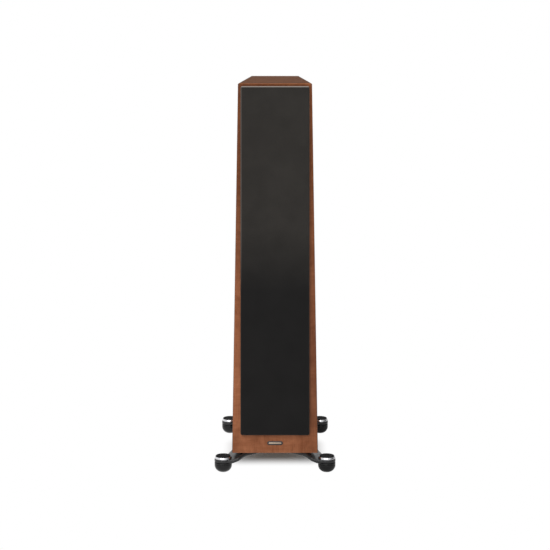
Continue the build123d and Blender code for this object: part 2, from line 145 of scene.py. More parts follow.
class Graph:
    """A node tree laid out by short calls."""

    def __init__(self, tree, family="ShaderNode"):
        self.tree, self.family = tree, family

    def node(self, kind, settings=None, **inputs):
        """A new node, with its properties set and its inputs set or linked by name."""
        made = self.tree.nodes.new(kind if "Node" in kind else self.family + kind)
        for name, value in (settings or {}).items():
            setattr(made, name, value)
        for name, value in inputs.items():
            self.feed(made.inputs[name.replace("_", " ")], value)
        return made

    def feed(self, socket, value):
        """Links an output to a socket, or sets the socket's own value."""
        if isinstance(value, Value):
            value = value.socket
        if isinstance(value, bpy.types.NodeSocket):
            self.tree.links.new(value, socket)
        else:
            socket.default_value = value

    def math(self, operation, *values, kind="Math", result=0):
        """A result of a Math or VectorMath node."""
        made = self.node(kind, {"operation": operation})
        for socket, value in zip(made.inputs, values):
            self.feed(socket, value)
        return Value(self, made.outputs[result])

    def split(self, vector):
        """The three parts of a vector."""
        return [Value(self, part) for part in self.node("SeparateXYZ", Vector=vector).outputs]

    def spread(self, value, low, high, to_low=0.0, to_high=1.0, interpolation="LINEAR"):
        """A value mapped from one range to another and kept within it."""
        made = self.node("MapRange", {"interpolation_type": interpolation}, Value=value,
                         From_Min=low, From_Max=high, To_Min=to_low, To_Max=to_high)
        return Value(self, made.outputs["Result"])


class Finish(Graph):
    """A material. Constants go straight on the shader's sockets."""

    def __init__(self, name, **constants):
        self.material = bpy.data.materials.new(name)
        self.material.use_nodes = True
        super().__init__(self.material.node_tree)
        self.shader = self.tree.nodes["Principled BSDF"]
        for socket, value in constants.items():
            self.shader.inputs[socket.replace("_", " ")].default_value = value
        self.place = self.node("TexCoord").outputs["Object"]

    def join(self, x, y, z):
        """A vector from three parts."""
        return self.node("CombineXYZ", X=x, Y=y, Z=z).outputs[0]

    def attribute(self, name):
        """An attribute that the mesh carries."""
        return Value(self, self.node("Attribute", {"attribute_name": name}).outputs["Fac"])

    def noise(self, per_metre, detail, roughness, distortion=0.0, at=None, stretch=None):
        """Noise with this many features to a metre, in places that may be stretched."""
        at = at or self.place
        if stretch:
            at = self.node("Mapping", Vector=at, Scale=stretch).outputs[0]
        made = self.node("TexNoise", Vector=at, Scale=per_metre, Detail=detail, Roughness=roughness,
                         Distortion=distortion)
        return Value(self, made.outputs["Fac"])

    def tint(self, share, colour_a, colour_b, blend="MIX"):
        """Two colours mixed by a share."""
        made = self.node("Mix", {"data_type": "RGBA", "blend_type": blend})
        self.feed(made.inputs[0], share)
        for socket, colour in zip(made.inputs[6:8], (colour_a, colour_b)):
            self.feed(socket, colour if isinstance(colour, bpy.types.NodeSocket) else (*colour[:3], 1.0))
        return made.outputs[2]

    def times(self, colour, shade):
        """A colour multiplied by another."""
        return self.tint(1.0, colour, shade, "MULTIPLY")

    def banded(self, value, low, high, tone, dark):
        """A tone that a value between two limits takes down to a share of its strength."""
        return self.tint(self.spread(value, low, high), darker(tone, dark), tone)

    def coated(self, colour, roughness, height, depth, strength):
        """The material with its colour, its roughness and a bump of a depth in metres."""
        bump = self.node("Bump", Height=height, Distance=depth, Strength=strength)
        for socket, value in (("Base Color", colour), ("Roughness", roughness), ("Normal", bump.outputs[0])):
            self.feed(self.shader.inputs[socket], value)
        return self.material


def darker(colour, share):
    """A colour at a share of its strength."""
    return tuple(channel * share for channel in colour)


# Finishes ------------------------------------------------------------------------------------------
def walnut_veneer(settings):
    """Lacquered walnut. The grain runs up the upright faces and across the top, with a fine cross figure.

    Painted shade darkens the crown and the top face, the strips beside the grille carry painted light and
    shade, the bevel above the baffle and the front's bottom edge carry painted highlights, the other bevels
    and the upright corners carry painted shade, and bare board shows on the inside.
    """
    finish = Finish("Walnut veneer", Specular_IOR_Level=settings.gloss)
    x, y, z = finish.split(finish.place)
    normal = finish.node("NewGeometry").outputs["Normal"]
    normal_x, normal_y, normal_z = finish.split(normal)
    upright = abs(normal_z)
    is_top = upright > 0.6
    faces_front = normal_y < -0.25

    turned = finish.node("Mix", {"data_type": "VECTOR"})
    for socket, value in ((0, is_top), (4, finish.place), (5, finish.join(z, y, x))):
        finish.feed(turned.inputs[socket], value)
    grain = turned.outputs[1]
    broad = finish.noise(14, 3, 0.55, 0.8, grain, (1, 1, 0.16))
    streaks = finish.noise(260, 5, 0.65, 0.0, grain, (1, 1, 0.035))
    figure = finish.noise(1 / settings.figure_spacing, 2, 0.55, 0.4, grain, (0.13, 0.13, 1))
    clouds = finish.noise(30, 4, 0.65, 1.2, grain, (1, 1, 0.6))
    pores = finish.noise(1100, 2, 0.5, 0.0, grain, (1, 1, 0.05))
    tone = broad * 0.40 + streaks * 0.22 + clouds * 0.38
    wood = finish.tint(finish.spread(tone, 0.37, 0.63), settings.dark_tone, settings.light_tone)
    wood = finish.tint(finish.spread(figure, 0.38, 0.64, 0.0, 0.34), wood, settings.red_tone)
    dashes = finish.spread(pores, 0.60, 0.72, 0.0, 0.5)
    wood = finish.tint(dashes, wood, darker(settings.dark_tone, 0.35))

    # Painted shade: the crown is darker than the foot, and the top face darker and a little greener.
    painted_foot_light = finish.spread(z, FOOT_Z + (TOP_Z - FOOT_Z) * 0.72, FOOT_Z + (TOP_Z - FOOT_Z) * 0.48)
    wood = finish.times(wood, finish.tint(painted_foot_light + clouds * 0.1, settings.painted_crown_shade, WHITE))
    wood = finish.tint(is_top, wood, finish.times(wood, (0.80, 0.88, 0.82)))

    # Painted shade darkens the bevels round the top and the rounded upright corners, and a painted highlight
    # lightens the bevel above the baffle.
    slope = (upright > 0.25) * (upright < 0.95)
    bevel, first_y, first_half, toe = top_taper()
    side_gap = (first_half + toe * first_y) - y * toe - abs(x)
    rim = finish.spread(side_gap.least(REAR_Y - y), 0.0042, 0.0030) * (z > TOP_Z - bevel)
    rounded = finish.spread(abs(normal_x), 0.50, 0.80) * (normal_y < 0.03)
    edge = finish.tint(slope.most(rim).most(rounded), WHITE, settings.painted_edge_shade)
    edge = finish.tint(slope * faces_front, edge, settings.painted_edge_highlight)
    wood = finish.times(wood, edge)

    # Painted light and shade on the strips beside the grille: each strip, left and right, changes in strength
    # between two heights.
    beside_grille = finish.spread(z, FOOT_Z + 0.04, FOOT_Z + 0.09) * faces_front
    for side, low_z, high_z, low_gain, high_gain in (
            (-1, 0.50, 0.62, 1.17, 0.92), (1, 0.10, 1.05, 0.64, 1.25)):
        gain = finish.spread(z, low_z, high_z, low_gain, high_gain)
        painted_strip_share = finish.spread(x, side * 0.075, side * 0.093) * beside_grille
        wood = finish.tint(painted_strip_share, wood, finish.times(wood, finish.join(gain, gain, gain)))
    # A painted highlight lightens the front's bottom edge.
    painted_light = finish.spread(z, FOOT_Z + 0.0045, FOOT_Z + 0.002) * faces_front
    wood = finish.times(wood, finish.tint(painted_light, WHITE, (1.10, 1.15, 1.25)))

    # Faces that look towards the middle of the cabinet are bare board.
    heart = (0.0, (BAFFLE_Y + REAR_Y) / 2, (TOP_Z + FOOT_Z) / 2)
    from_heart = finish.math("SUBTRACT", finish.place, heart, kind="VectorMath")
    is_inside = finish.math("DOT_PRODUCT", normal, from_heart, kind="VectorMath", result=1) < 0.0
    board = finish.banded(finish.noise(700, 4, 0.75), 0.35, 0.65, settings.board_tone, 0.7)
    satin = finish.spread(streaks, 0.3, 0.7, 0.36, 0.48)
    return finish.coated(finish.tint(is_inside, wood, board), satin.most(is_top * 0.85),
                         streaks - dashes * 1.5, 0.00006, 0.5)


def grille_cloth(settings):
    """A plain weave of dull black yarn with a soft sheen, painted light on its upper half and painted
    highlights on its upper and left edges.
    """
    finish = Finish("Grille cloth", Sheen_Weight=0.30, Sheen_Roughness=0.40, Specular_IOR_Level=0.15,
                    Sheen_Tint=(0.55, 0.52, 0.50, 1.0))
    x, y, z = finish.split(finish.place)
    warp, weft = (((side + y) * (math.pi / settings.yarn_pitch)).sine() for side in (x, z))
    over = finish.spread(warp * weft * 4.0, -1, 1, -0.3, 0.3)
    weave = (abs(warp) * (0.7 + over)).most(abs(weft) * (0.7 - over))
    slub, patches = finish.noise(420, 3, 0.6), finish.noise(17, 2, 0.5)
    low, high = (corner.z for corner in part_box("grille_frame"))
    # Painted light: the cloth is lighter in its upper half.
    painted_light_share = finish.spread(z, low + (high - low) * 0.42, low + (high - low) * 0.60)
    painted_light = finish.tint(painted_light_share, settings.cloth_tone, settings.painted_lit_tone)
    dull, deep = (finish.times(painted_light, (share, share, share)) for share in (0.62, 0.30))
    yarn = finish.tint(finish.spread(slub * 0.6 + patches * 0.4, 0.35, 0.65), dull, painted_light)
    fabric = finish.tint(finish.spread(weave, 0.2, 0.9), deep, yarn)
    # Painted highlights: pale where the cloth faces up and, in its upper half, where it faces left.
    normal_x, _, normal_z = finish.split(finish.node("NewGeometry").outputs["Normal"])
    painted_left_highlight = finish.spread(normal_x, -0.10, -0.60, 0.0, 0.16) * painted_light_share
    painted_edge_light = finish.spread(normal_z, 0.35, 0.70, 0.0, 0.9).most(painted_left_highlight)
    return finish.coated(finish.tint(painted_edge_light, fabric, settings.painted_highlight_tone),
                         finish.spread(slub, 0.3, 0.7, 0.82, 0.95), weave, 0.00018, 0.8)


def speckled(name, tone, per_metre, depth, low, high, **constants):
    """A plain moulded or coated surface with a fine grain and uneven gloss."""
    finish = Finish(name, **constants)
    fine, cloudy = finish.noise(per_metre, 3, 0.6), finish.noise(per_metre / 30, 2, 0.5)
    return finish.coated(finish.banded(fine, 0.3, 0.7, tone, 0.8),
                         finish.spread(cloudy, 0.3, 0.7, low, high), fine, depth, 0.6)


def lathed(name, tone, low, high, rings_per_metre, **constants):
    """A turned surface, with faint rings that follow the outline."""
    finish = Finish(name, **constants)
    outline = finish.attribute("along_outline")
    rings = finish.noise(rings_per_metre, 4, 0.7, at=finish.join(outline, 0.0, 0.0))
    smears = finish.noise(90, 3, 0.6)
    return finish.coated(finish.banded(smears, 0.3, 0.7, tone, 0.88),
                         finish.spread(rings * 0.5 + smears * 0.5, 0.35, 0.65, low, high), rings,
                         0.00001, 0.35)


def turned_metal(name, tone, low, high, rings_per_metre):
    """Bare metal off the lathe."""
    return lathed(name, tone, low, high, rings_per_metre, Metallic=1.0)


def pressed_paper(settings):
    """The woofer's cone: a pressed, coated fibre with radial strokes."""
    finish = Finish("Woofer cone", Coat_Weight=0.15, Coat_Roughness=0.35)
    spokes = finish.join(finish.attribute("around") * 6.0, finish.attribute("along_outline"), 0.0)
    pulp = finish.noise(900, 3, 0.6)
    shade = finish.noise(30, 5, 0.7, at=spokes) * 0.6 + pulp * 0.4
    return finish.coated(finish.banded(shade, 0.35, 0.65, settings.cone_tone, 0.6),
                         finish.spread(pulp, 0.3, 0.7, 0.38, 0.55), shade, 0.00008, 0.6)


def woven(name, tone, per_metre, depth, low, high, **constants):
    """A fine treated fabric, such as a spider, a dome or wadding."""
    finish = Finish(name, **constants)
    fibres, lumps = finish.noise(per_metre, 5, 0.7, 0.5), finish.noise(per_metre / 12, 3, 0.6)
    mixed = fibres * 0.5 + lumps * 0.5
    return finish.coated(finish.banded(mixed, 0.35, 0.65, tone, 0.7),
                         finish.spread(fibres, 0.3, 0.7, low, high), mixed, depth, 0.8)


def bare_board(name, tone):
    """Pressed wood fibre, cut and left bare."""
    finish = Finish(name, Roughness=0.8)
    fibres = finish.noise(700, 5, 0.75)
    layers = finish.noise(40, 2, 0.5, stretch=(1, 1, 6))
    return finish.coated(finish.banded(fibres * 0.7 + layers * 0.3, 0.35, 0.65, tone, 0.7),
                         finish.spread(fibres, 0.3, 0.7, 0.72, 0.92), fibres, 0.0001, 0.6)


# Shapes --------------------------------------------------------------------------------------------
def shares(steps):
    """Even shares from 0 to 1."""
    return [step / steps for step in range(steps + 1)]


def angles(steps, turn=QUARTER):
    """Even angles from 0 to a turn."""
    return [turn * step / steps for step in range(steps + 1)]


def rounded_line(corners, steps=6):
    """Points (radius, height) along corners (radius, height, rounding), with an arc at each rounded one."""
    points = []
    for index, (radius, height, rounding) in enumerate(corners):
        corner = Vector((radius, height))
        if not rounding:
            points.append(corner)
            continue
        back = (Vector(corners[index - 1][:2]) - corner).normalized()
        ahead = (Vector(corners[index + 1][:2]) - corner).normalized()
        half = back.angle(ahead) / 2
        reach = rounding / math.tan(half)
        centre = corner + (back + ahead).normalized() * rounding / math.sin(half)
        start, end = corner + back * reach - centre, corner + ahead * reach - centre
        points += [centre + start.lerp(end, share).normalized() * rounding for share in shares(steps)]
    return points


def rounded_rectangle(width, height, rounding, steps=6):
    """Points (across, up) round a rectangle with rounded corners, centred on nothing."""
    points = []
    for quarter in range(4):
        corner_x = (width / 2 - rounding) * (1 if quarter in (0, 3) else -1)
        corner_y = (height / 2 - rounding) * (1 if quarter in (0, 1) else -1)
        for share in shares(steps):
            angle = math.radians(90 * (quarter + share))
            points.append((corner_x + rounding * math.cos(angle), corner_y + rounding * math.sin(angle)))
    return points


def circle_of(count, radius, start=0.0):
    """Places on a circle, the first at an angle in degrees."""
    turns = [math.radians(start) + math.tau * index / count for index in range(count)]
    return [(radius * math.cos(angle), radius * math.sin(angle)) for angle in turns]


def linked(name, data):
    """A new object in the scene."""
    made = bpy.data.objects.new(name, data)
    bpy.context.scene.collection.objects.link(made)
    return made


def faced(points, edges=(), faces=()):
    """A mesh of these points, edges and faces."""
    mesh = bpy.data.meshes.new("drawn")
    mesh.from_pydata(points, edges, faces)
    return mesh


def outward(mesh):
    """Turns every face of a closed mesh outwards."""
    shell = bmesh.new()
    shell.from_mesh(mesh)
    bmesh.ops.recalc_face_normals(shell, faces=shell.faces)
    shell.to_mesh(mesh)
    shell.free()


def finished(mesh, finish, crease):
    """The mesh in one finish, shaded smooth but for edges sharper than the crease angle in degrees."""
    mesh.materials.append(finish)
    mesh.shade_smooth()
    mesh.set_sharp_from_angle(angle=math.radians(crease))
    return mesh


def from_shell(shell, finish, crease):
    """A finished mesh made of a shell, which is freed."""
    mesh = bpy.data.meshes.new("shell")
    shell.to_mesh(mesh)
    shell.free()
    return finished(mesh, finish, crease)


def geometry_graph(name, sockets):
    """A new Geometry Nodes tree, and what its named inputs give."""
    graph = Graph(bpy.data.node_groups.new(name, "GeometryNodeTree"), "GeometryNode")
    graph.tree.is_modifier = True
    for socket, kind in sockets.items():
        graph.tree.interface.new_socket(name=socket, in_out="INPUT", socket_type="NodeSocket" + kind)
    graph.tree.interface.new_socket(name="Geometry", in_out="OUTPUT", socket_type="NodeSocketGeometry")
    return graph, graph.node("NodeGroupInput").outputs


def finish_tree(graph, geometry, given):
    """Ends a tree as the export needs it: real geometry with its material."""
    real = graph.node("RealizeInstances", Geometry=geometry)
    painted = graph.node("SetMaterial", Geometry=real.outputs[0], Material=given["Material"])
    graph.node("NodeGroupOutput", Geometry=painted.outputs[0])
    return graph.tree


def turned_tree():
    """Revolves an outline about Z. The outline lies at radius minus one along X and its height along -Y."""
    graph, given = geometry_graph("Turned piece", {
        "Outline": "Object", "Segments": "Int", "Crease": "Float", "Material": "Material"})

    def measured(curve, name, run):
        """The curve with how far along it each point is."""
        along = graph.node("SplineParameter").outputs[run]
        return graph.node("StoreNamedAttribute", {"data_type": "FLOAT", "domain": "POINT"}, Geometry=curve,
                          Name=name, Value=along).outputs[0]

    outline = graph.node("ObjectInfo", Object=given["Outline"]).outputs["Geometry"]
    section = measured(graph.node("MeshToCurve", Mesh=outline).outputs[0], "along_outline", "Length")
    circle = graph.node("CurvePrimitiveCircle", Resolution=given["Segments"], Radius=1.0).outputs[0]
    swept = graph.node("CurveToMesh", Curve=measured(circle, "around", "Factor"), Profile_Curve=section)
    merged = graph.node("MergeByDistance", Geometry=swept.outputs[0], Distance=0.000001)
    rounded = graph.node("SetShadeSmooth", {"domain": "FACE"}, Geometry=merged.outputs[0], Shade_Smooth=True)
    angle = graph.node("InputMeshEdgeAngle").outputs["Unsigned Angle"]
    is_sharp = graph.node("FunctionNodeCompare", {"operation": "GREATER_THAN"}, A=angle, B=given["Crease"])
    creased = graph.node("SetShadeSmooth", {"domain": "EDGE"}, Geometry=rounded.outputs[0],
                         Selection=is_sharp.outputs[0], Shade_Smooth=False)
    return finish_tree(graph, creased.outputs[0], given)


def scatter_tree():
    """Sets a copy of one small fitting on each point of a mesh, each turned a little differently."""
    graph, given = geometry_graph("Fastener set", {
        "Places": "Object", "Fastener": "Object", "Seed": "Int", "Material": "Material"})
    places, fastener = (graph.node("ObjectInfo", Object=given[name]).outputs["Geometry"]
                        for name in ("Places", "Fastener"))
    turn = graph.node("FunctionNodeRandomValue", {"data_type": "FLOAT"}, Seed=given["Seed"])
    turn.inputs[2].default_value, turn.inputs[3].default_value = 0.0, math.tau
    spin = graph.node("ShaderNodeCombineXYZ", Z=turn.outputs[1])
    placed = graph.node("InstanceOnPoints", Points=places, Instance=fastener, Rotation=spin.outputs[0])
    return finish_tree(graph, placed.outputs[0], given)


def grown(name, build, **values):
    """The plain mesh that the tree of this name makes with these inputs, on helpers that go afterwards."""
    tree = bpy.data.node_groups.get(name) or build()
    host = linked("host", bpy.data.meshes.new("host"))
    modifier = host.modifiers.new(tree.name, "NODES")
    modifier.node_group = tree
    for item in tree.interface.items_tree:
        if item.item_type == "SOCKET" and item.in_out == "INPUT":
            modifier[item.identifier] = values[item.name]
    graph = bpy.context.evaluated_depsgraph_get()
    mesh = bpy.data.meshes.new_from_object(host.evaluated_get(graph))
    for used in (host, *values.values()):
        if isinstance(used, bpy.types.Object):
            bpy.data.objects.remove(used)
    return mesh


def turned_mesh(outline, place, finish, segments=96, crease=28.0, closed=False):
    """A mesh turned from an outline of (radius, height): from the top of its axis to its foot, or closed."""
    edges = [(index, index + 1) for index in range(len(outline) - 1)]
    if closed:
        edges.append((len(outline) - 1, 0))
    drawn = linked("outline", faced([(radius - 1, -height, 0) for radius, height in outline], edges))
    mesh = grown("Turned piece", turned_tree, Outline=drawn, Segments=segments, Crease=math.radians(crease),
                 Material=finish)
    outward(mesh)
    mesh.transform(place)
    return mesh


def looped_mesh(loops, finish, crease=35.0, closed=False):
    """A mesh through loops of equally many points: its ends are filled in, or joined to each other."""
    count, rows = len(loops[0]), len(loops)
    last = (rows - 1) * count
    faces = [] if closed else [list(range(count))[::-1], [last + index for index in range(count)]]
    for row in range(rows if closed else rows - 1):
        low, high = row * count, (row + 1) % rows * count
        faces += [[low + index, low + beside, high + beside, high + index]
                  for index, beside in ((index, (index + 1) % count) for index in range(count))]
    mesh = faced([point for loop in loops for point in loop], faces=faces)
    outward(mesh)
    return finished(mesh, finish, crease)


def piece(name, mesh, body, slot=None, *replaces):
    """An object at the origin that rides on a body and may stand for CAD nodes."""
    mesh.name = name
    made = linked(name, mesh)
    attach(made, body)
    if replaces:
        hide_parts(*replaces)
    return made


def copied(node):
    """A copy of a CAD node's shape with its corners joined, free of the normals that came with it."""
    source = nodes[node].data
    plain = faced([corner.co for corner in source.vertices],
                  faces=[face.vertices[:] for face in source.polygons])
    shell = bmesh.new()
    shell.from_mesh(plain)
    bpy.data.meshes.remove(plain)
    bmesh.ops.remove_doubles(shell, verts=shell.verts, dist=0.002 * MM)
    return shell


def softened(node, width, finish):
    """A copy of a CAD node's mesh with its edges rounded."""
    shell = copied(node)
    bmesh.ops.dissolve_limit(shell, angle_limit=math.radians(1.0), verts=shell.verts, edges=shell.edges)
    sharp = [edge for edge in shell.edges
             if edge.is_manifold and edge.calc_face_angle(0.0) > math.radians(35.0)]
    bmesh.ops.bevel(shell, geom=sharp, offset=width, segments=3, profile=0.5, affect="EDGES",
                    clamp_overlap=False, offset_type="OFFSET")
    return from_shell(shell, finish, 30.0)


def paint(node, finish):
    """Gives a CAD node, left as it is, a finish of its own."""
    for slot in nodes[node].material_slots:
        slot.material = finish


def screw_head(radius, height, socket_radius, socket_depth):
    """A cap screw's head with a hexagon socket, standing on Z = 0."""
    def hexagon(angle):
        within = (angle + math.pi / 6) % (math.pi / 3) - math.pi / 6
        return socket_radius * math.cos(math.pi / 6) / math.cos(within)

    def ring(reach, level):
        turns = [math.tau * index / 24 for index in range(24)]
        return [Vector((reach(angle) * math.cos(angle), reach(angle) * math.sin(angle), level))
                for angle in turns]

    outer = ((1.0, 0.0), (1.0, 0.75), (0.93, 0.93), (0.84, 1.0))
    return [*(ring(lambda angle: radius * share, height * level) for share, level in outer),
            ring(lambda angle: hexagon(angle) * 1.08, height), ring(hexagon, height * 0.94),
            ring(hexagon, height - socket_depth)]


def fastener_set(name, places, place, head, finish, seed):
    """One piece of the cabinet with a set of equal screws, set by Geometry Nodes at points on a plane."""
    points = linked("places", faced([(across, up, 0) for across, up in places]))
    fastener = linked("fastener", looped_mesh(head, finish, 30.0))
    mesh = grown("Fastener set", scatter_tree, Places=points, Fastener=fastener, Seed=seed, Material=finish)
    mesh.transform(place)
    return piece(name, mesh, "cabinet")


# Settings ------------------------------------------------------------------------------------------
def length_setting(name, description, default):
    """A length in metres."""
    return FloatProperty(name=name, description=description, default=default, min=0.0, unit="LENGTH",
                         subtype="DISTANCE", precision=5)


def colour_setting(name, description, default):
    """A linear colour."""
    return FloatVectorProperty(name=name, description=description, default=default, min=0.0, max=1.0,
                               size=3, subtype="COLOR")


def shade_setting(name, description, default):
    """What each channel of a colour is multiplied by."""
    return FloatVectorProperty(name=name, description=description, default=default, min=0.0, max=4.0, size=3)


class VeneerSettings(bpy.types.PropertyGroup):
    """The cabinet's wood."""

    light_tone: colour_setting("Light tone", "Colour of the pale bands of the veneer", (0.345, 0.130, 0.060))
    dark_tone: colour_setting("Dark tone", "Colour of the dark bands of the veneer", (0.180, 0.058, 0.022))
    red_tone: colour_setting("Figure tone", "Colour of the cross figure", (0.165, 0.046, 0.016))
    # Painted shade near the top.
    painted_crown_shade: shade_setting("Crown shade", "What the veneer's colour is multiplied by near its top",
                                (0.62, 0.55, 0.42))
    # Painted shade on the bevels round the top and the rounded upright corners.
    painted_edge_shade: shade_setting("Edge shade", "What the colour is multiplied by along the top's edges",
                               (0.50, 0.50, 0.55))
    # Painted highlight on the bevel above the baffle.
    painted_edge_highlight: shade_setting("Front edge shade", "The same on the bevel above the baffle",
                                     (3.3, 3.3, 3.6))
    top_bevel: length_setting("Top bevel", "Width of the bevel round the top", 0.0011)
    gloss: FloatProperty(name="Gloss", description="Strength of the lacquer's reflection", default=0.14)
    board_tone: colour_setting("Board", "Colour of bare board inside the cabinet", (0.33, 0.23, 0.14))
    figure_spacing: length_setting("Figure spacing", "Distance between strokes of the cross figure", 0.0055)


class GrilleSettings(bpy.types.PropertyGroup):
    """The cloth grille and the badge below it."""

    cloth_tone: colour_setting("Cloth", "Colour of the yarn", (0.0150, 0.0142, 0.0140))
    # Painted light on the cloth's upper half.
    painted_lit_tone: colour_setting("Faded cloth", "Colour of the yarn in the upper half",
                               (0.0455, 0.0412, 0.0370))
    # Painted highlight along the grille's upper and left edges.
    painted_highlight_tone: colour_setting("Dust", "Colour of the dust on the grille's upper edge", (0.34, 0.30, 0.27))
    frame_tone: colour_setting("Frame", "Colour of the moulded frame", (0.012, 0.012, 0.012))
    yarn_pitch: length_setting("Yarn pitch", "Distance between neighbouring yarns", 0.0006)
    cloth_thickness: length_setting("Cloth thickness", "Thickness of the cloth", 0.0005)
    bare_side: length_setting("Bare side", "Depth of the frame's side that the cloth leaves bare", 0.0055)
    edge_roll: length_setting("Edge roll", "Radius of the cloth's edge around the frame", 0.0045)
    badge_tone: colour_setting("Badge", "Colour of the badge's face", (0.016, 0.016, 0.018))
    badge_silver: colour_setting("Badge bar", "Colour of the badge's bar", (0.50, 0.40, 0.31))


class DriverSettings(bpy.types.PropertyGroup):
    """The woofers and the tweeter."""

    cone_tone: colour_setting("Cone", "Colour of the woofer cones", (0.030, 0.030, 0.032))
    rubber_tone: colour_setting("Surround", "Colour of the rubber surrounds", (0.012, 0.012, 0.012))
    basket_tone: colour_setting("Basket", "Colour of the cast baskets and the faceplate",
                                (0.020, 0.020, 0.021))
    dome_tone: colour_setting("Dome", "Colour of the tweeter's dome", (0.10, 0.09, 0.085))
    cap_radius: length_setting("Dust cap radius", "Radius of a woofer's dust cap", 0.024)
    coil_radius: length_setting("Voice coil radius", "Radius of a woofer's voice coil", 0.017)
    roll_inner_radius: length_setting("Roll inner radius", "Radius at which a surround's roll begins", 0.058)
    roll_outer_radius: length_setting("Roll outer radius", "Radius at which a surround's roll ends", 0.066)
    screw_radius: length_setting("Screw radius", "Radius of a driver screw's head", 0.0036)
    woofer_screws: IntProperty(name="Woofer screws", description="Screws around a woofer", default=8, min=3)
    tweeter_screws: IntProperty(name="Tweeter screws", description="Screws around the tweeter", default=6,
                                min=3)


class RearSettings(bpy.types.PropertyGroup):
    """The port and the terminals."""

    moulding_tone: colour_setting("Moulding", "Colour of the port and the terminal plate",
                                  (0.016, 0.016, 0.017))
    gold_tone: colour_setting("Posts", "Colour of the plated posts", (0.72, 0.47, 0.16))
    red_tone: colour_setting("Plus cap", "Colour of the plus post's cap", (0.36, 0.012, 0.010))
    black_tone: colour_setting("Minus cap", "Colour of the minus post's cap", (0.018, 0.018, 0.019))
    port_radius: length_setting("Port radius", "Inner radius of the port's tube", 0.033)
    mouth_radius: length_setting("Mouth radius", "Radius of the port's flared mouth", 0.044)
    tube_wall: length_setting("Tube wall", "Thickness of the port's tube", 0.003)
    flutes: IntProperty(name="Flutes", description="Flutes around a post's cap", default=12, min=6)


class FootSettings(bpy.types.PropertyGroup):
    """The outriggers and their levelling feet."""

    arm_tone: colour_setting("Arm", "Colour of the coated arms", (0.017, 0.017, 0.0175))
    cup_tone: colour_setting("Cup", "Colour of the foot cups", (0.0035, 0.0035, 0.0037))
    chrome_tone: colour_setting("Handwheel", "Colour of the plated handwheels", (0.72, 0.72, 0.74))
    cap_tone: colour_setting("Handwheel cap", "Colour of the discs on the handwheels", (0.009, 0.009, 0.0092))
    ring_draft: length_setting("Ring draft", "How much narrower a handwheel's side is at its bevel", 0.0007)
    pad_radius: length_setting("Pad radius", "Radius on which a cup stands", 0.012)
    bowl_height: length_setting("Bowl height", "Height at which the cup's round meets its upright side",
                                0.018)
    arm_edge: length_setting("Arm edge", "Round on the edges of the arms", 0.003)


class InsideSettings(bpy.types.PropertyGroup):
    """What is behind the panels."""

    wadding_tone: colour_setting("Wadding", "Colour of the wadding", (0.66, 0.65, 0.60))
    copper_tone: colour_setting("Coils", "Colour of the wound coils", (0.60, 0.24, 0.09))
    capacitor_tone: colour_setting("Capacitors", "Colour of the capacitors", (0.70, 0.56, 0.12))
    magnet_tone: colour_setting("Magnets", "Colour of the plated magnets", (0.60, 0.60, 0.60))
    ferrite_tone: colour_setting("Motors", "Colour of the driver motors", (0.030, 0.030, 0.033))


class StageSettings(bpy.types.PropertyGroup):
    """The camera, the floor and the light."""

    camera_distance: length_setting("Camera distance", "Distance of the camera in front of the axis", 4.4898)
    camera_height: length_setting("Camera height", "Height of the camera above the floor", 1.3107)
    camera_drop: FloatProperty(name="Camera drop", description="Angle by which the camera looks down",
                               default=math.radians(10.07), subtype="ANGLE")
    lens: FloatProperty(name="Lens", description="Focal length of the camera in millimetres", default=105.73)
    ambient: FloatProperty(name="Ambient", description="Strength of the soft light of the room", default=0.60)
    right_share: FloatProperty(name="Right share",
                               description="Share of that light that comes from the right",
                               default=0.75)
    right_reflection: FloatProperty(name="Right reflection", default=0.08,
                                    description="Brightness that reflections show of the room's right side")
    sun: FloatProperty(name="Main light", description="Strength of the broad front light", default=1.58)
    floor_tone: colour_setting("Floor", "Colour of the floor", (0.86, 0.86, 0.86))
    shade_inset: length_setting("Shade inset",
                                "How far inside the cabinet's foot the floor begins to whiten", 0.13)
    shade_reach: length_setting("Shade reach", "Distance over which the floor whitens", 0.10)


SETTINGS = {
    "veneer": VeneerSettings,
    "grille": GrilleSettings,
    "drivers": DriverSettings,
    "rear": RearSettings,
    "feet": FootSettings,
    "inside": InsideSettings,
    "stage": StageSettings,
}


# Pieces --------------------------------------------------------------------------------------------
class SPEAKER_OT_cabinet(bpy.types.Operator):
    """Veneer the panels of the cabinet"""

    bl_idname = "speaker.cabinet"
    bl_label = "Cabinet veneer"

    def execute(self, context):
        settings = context.scene.speaker_veneer
        veneer = walnut_veneer(settings)
        for node in ("front_baffle", "left_side_panel", "right_side_panel", "top_panel", "rear_panel"):
            mesh = self.crisped(node, settings.top_bevel, veneer)
            piece(f"{node}_veneered", mesh, "cabinet", "walnut_veneer", node)
        board = bare_board("Bare board", settings.board_tone)
        for node in ("bottom_panel", "window_braces"):
            paint(node, board)
        return {"FINISHED"}

    def crisped(self, node, bevel, finish):
        """A copy of a CAD node's mesh with a narrower bevel round the top."""
        wide, first_y, first_half, toe = top_taper()
        close = 0.15 * MM
        shell = copied(node)
        for corner in shell.verts:
            share = (corner.co.z - (TOP_Z - wide)) / wide
            if share < -0.01:
                continue
            share = max(share, 0.0)
            inset, drawn = wide * share, (wide - bevel) * share
            side_gap = first_half - toe * (corner.co.y - first_y) - abs(corner.co.x)
            on_side, on_front, on_rear = (abs(gap - inset) < close for gap in (
                side_gap, corner.co.y - BAFFLE_Y, REAR_Y - corner.co.y))
            if on_side:
                corner.co.x += math.copysign(drawn, corner.co.x)
            if on_front or on_rear:
                corner.co.y += drawn if on_rear else -drawn
            corner.co.z = TOP_Z - bevel * (1 - share)
        return from_shell(shell, finish, 30.0)


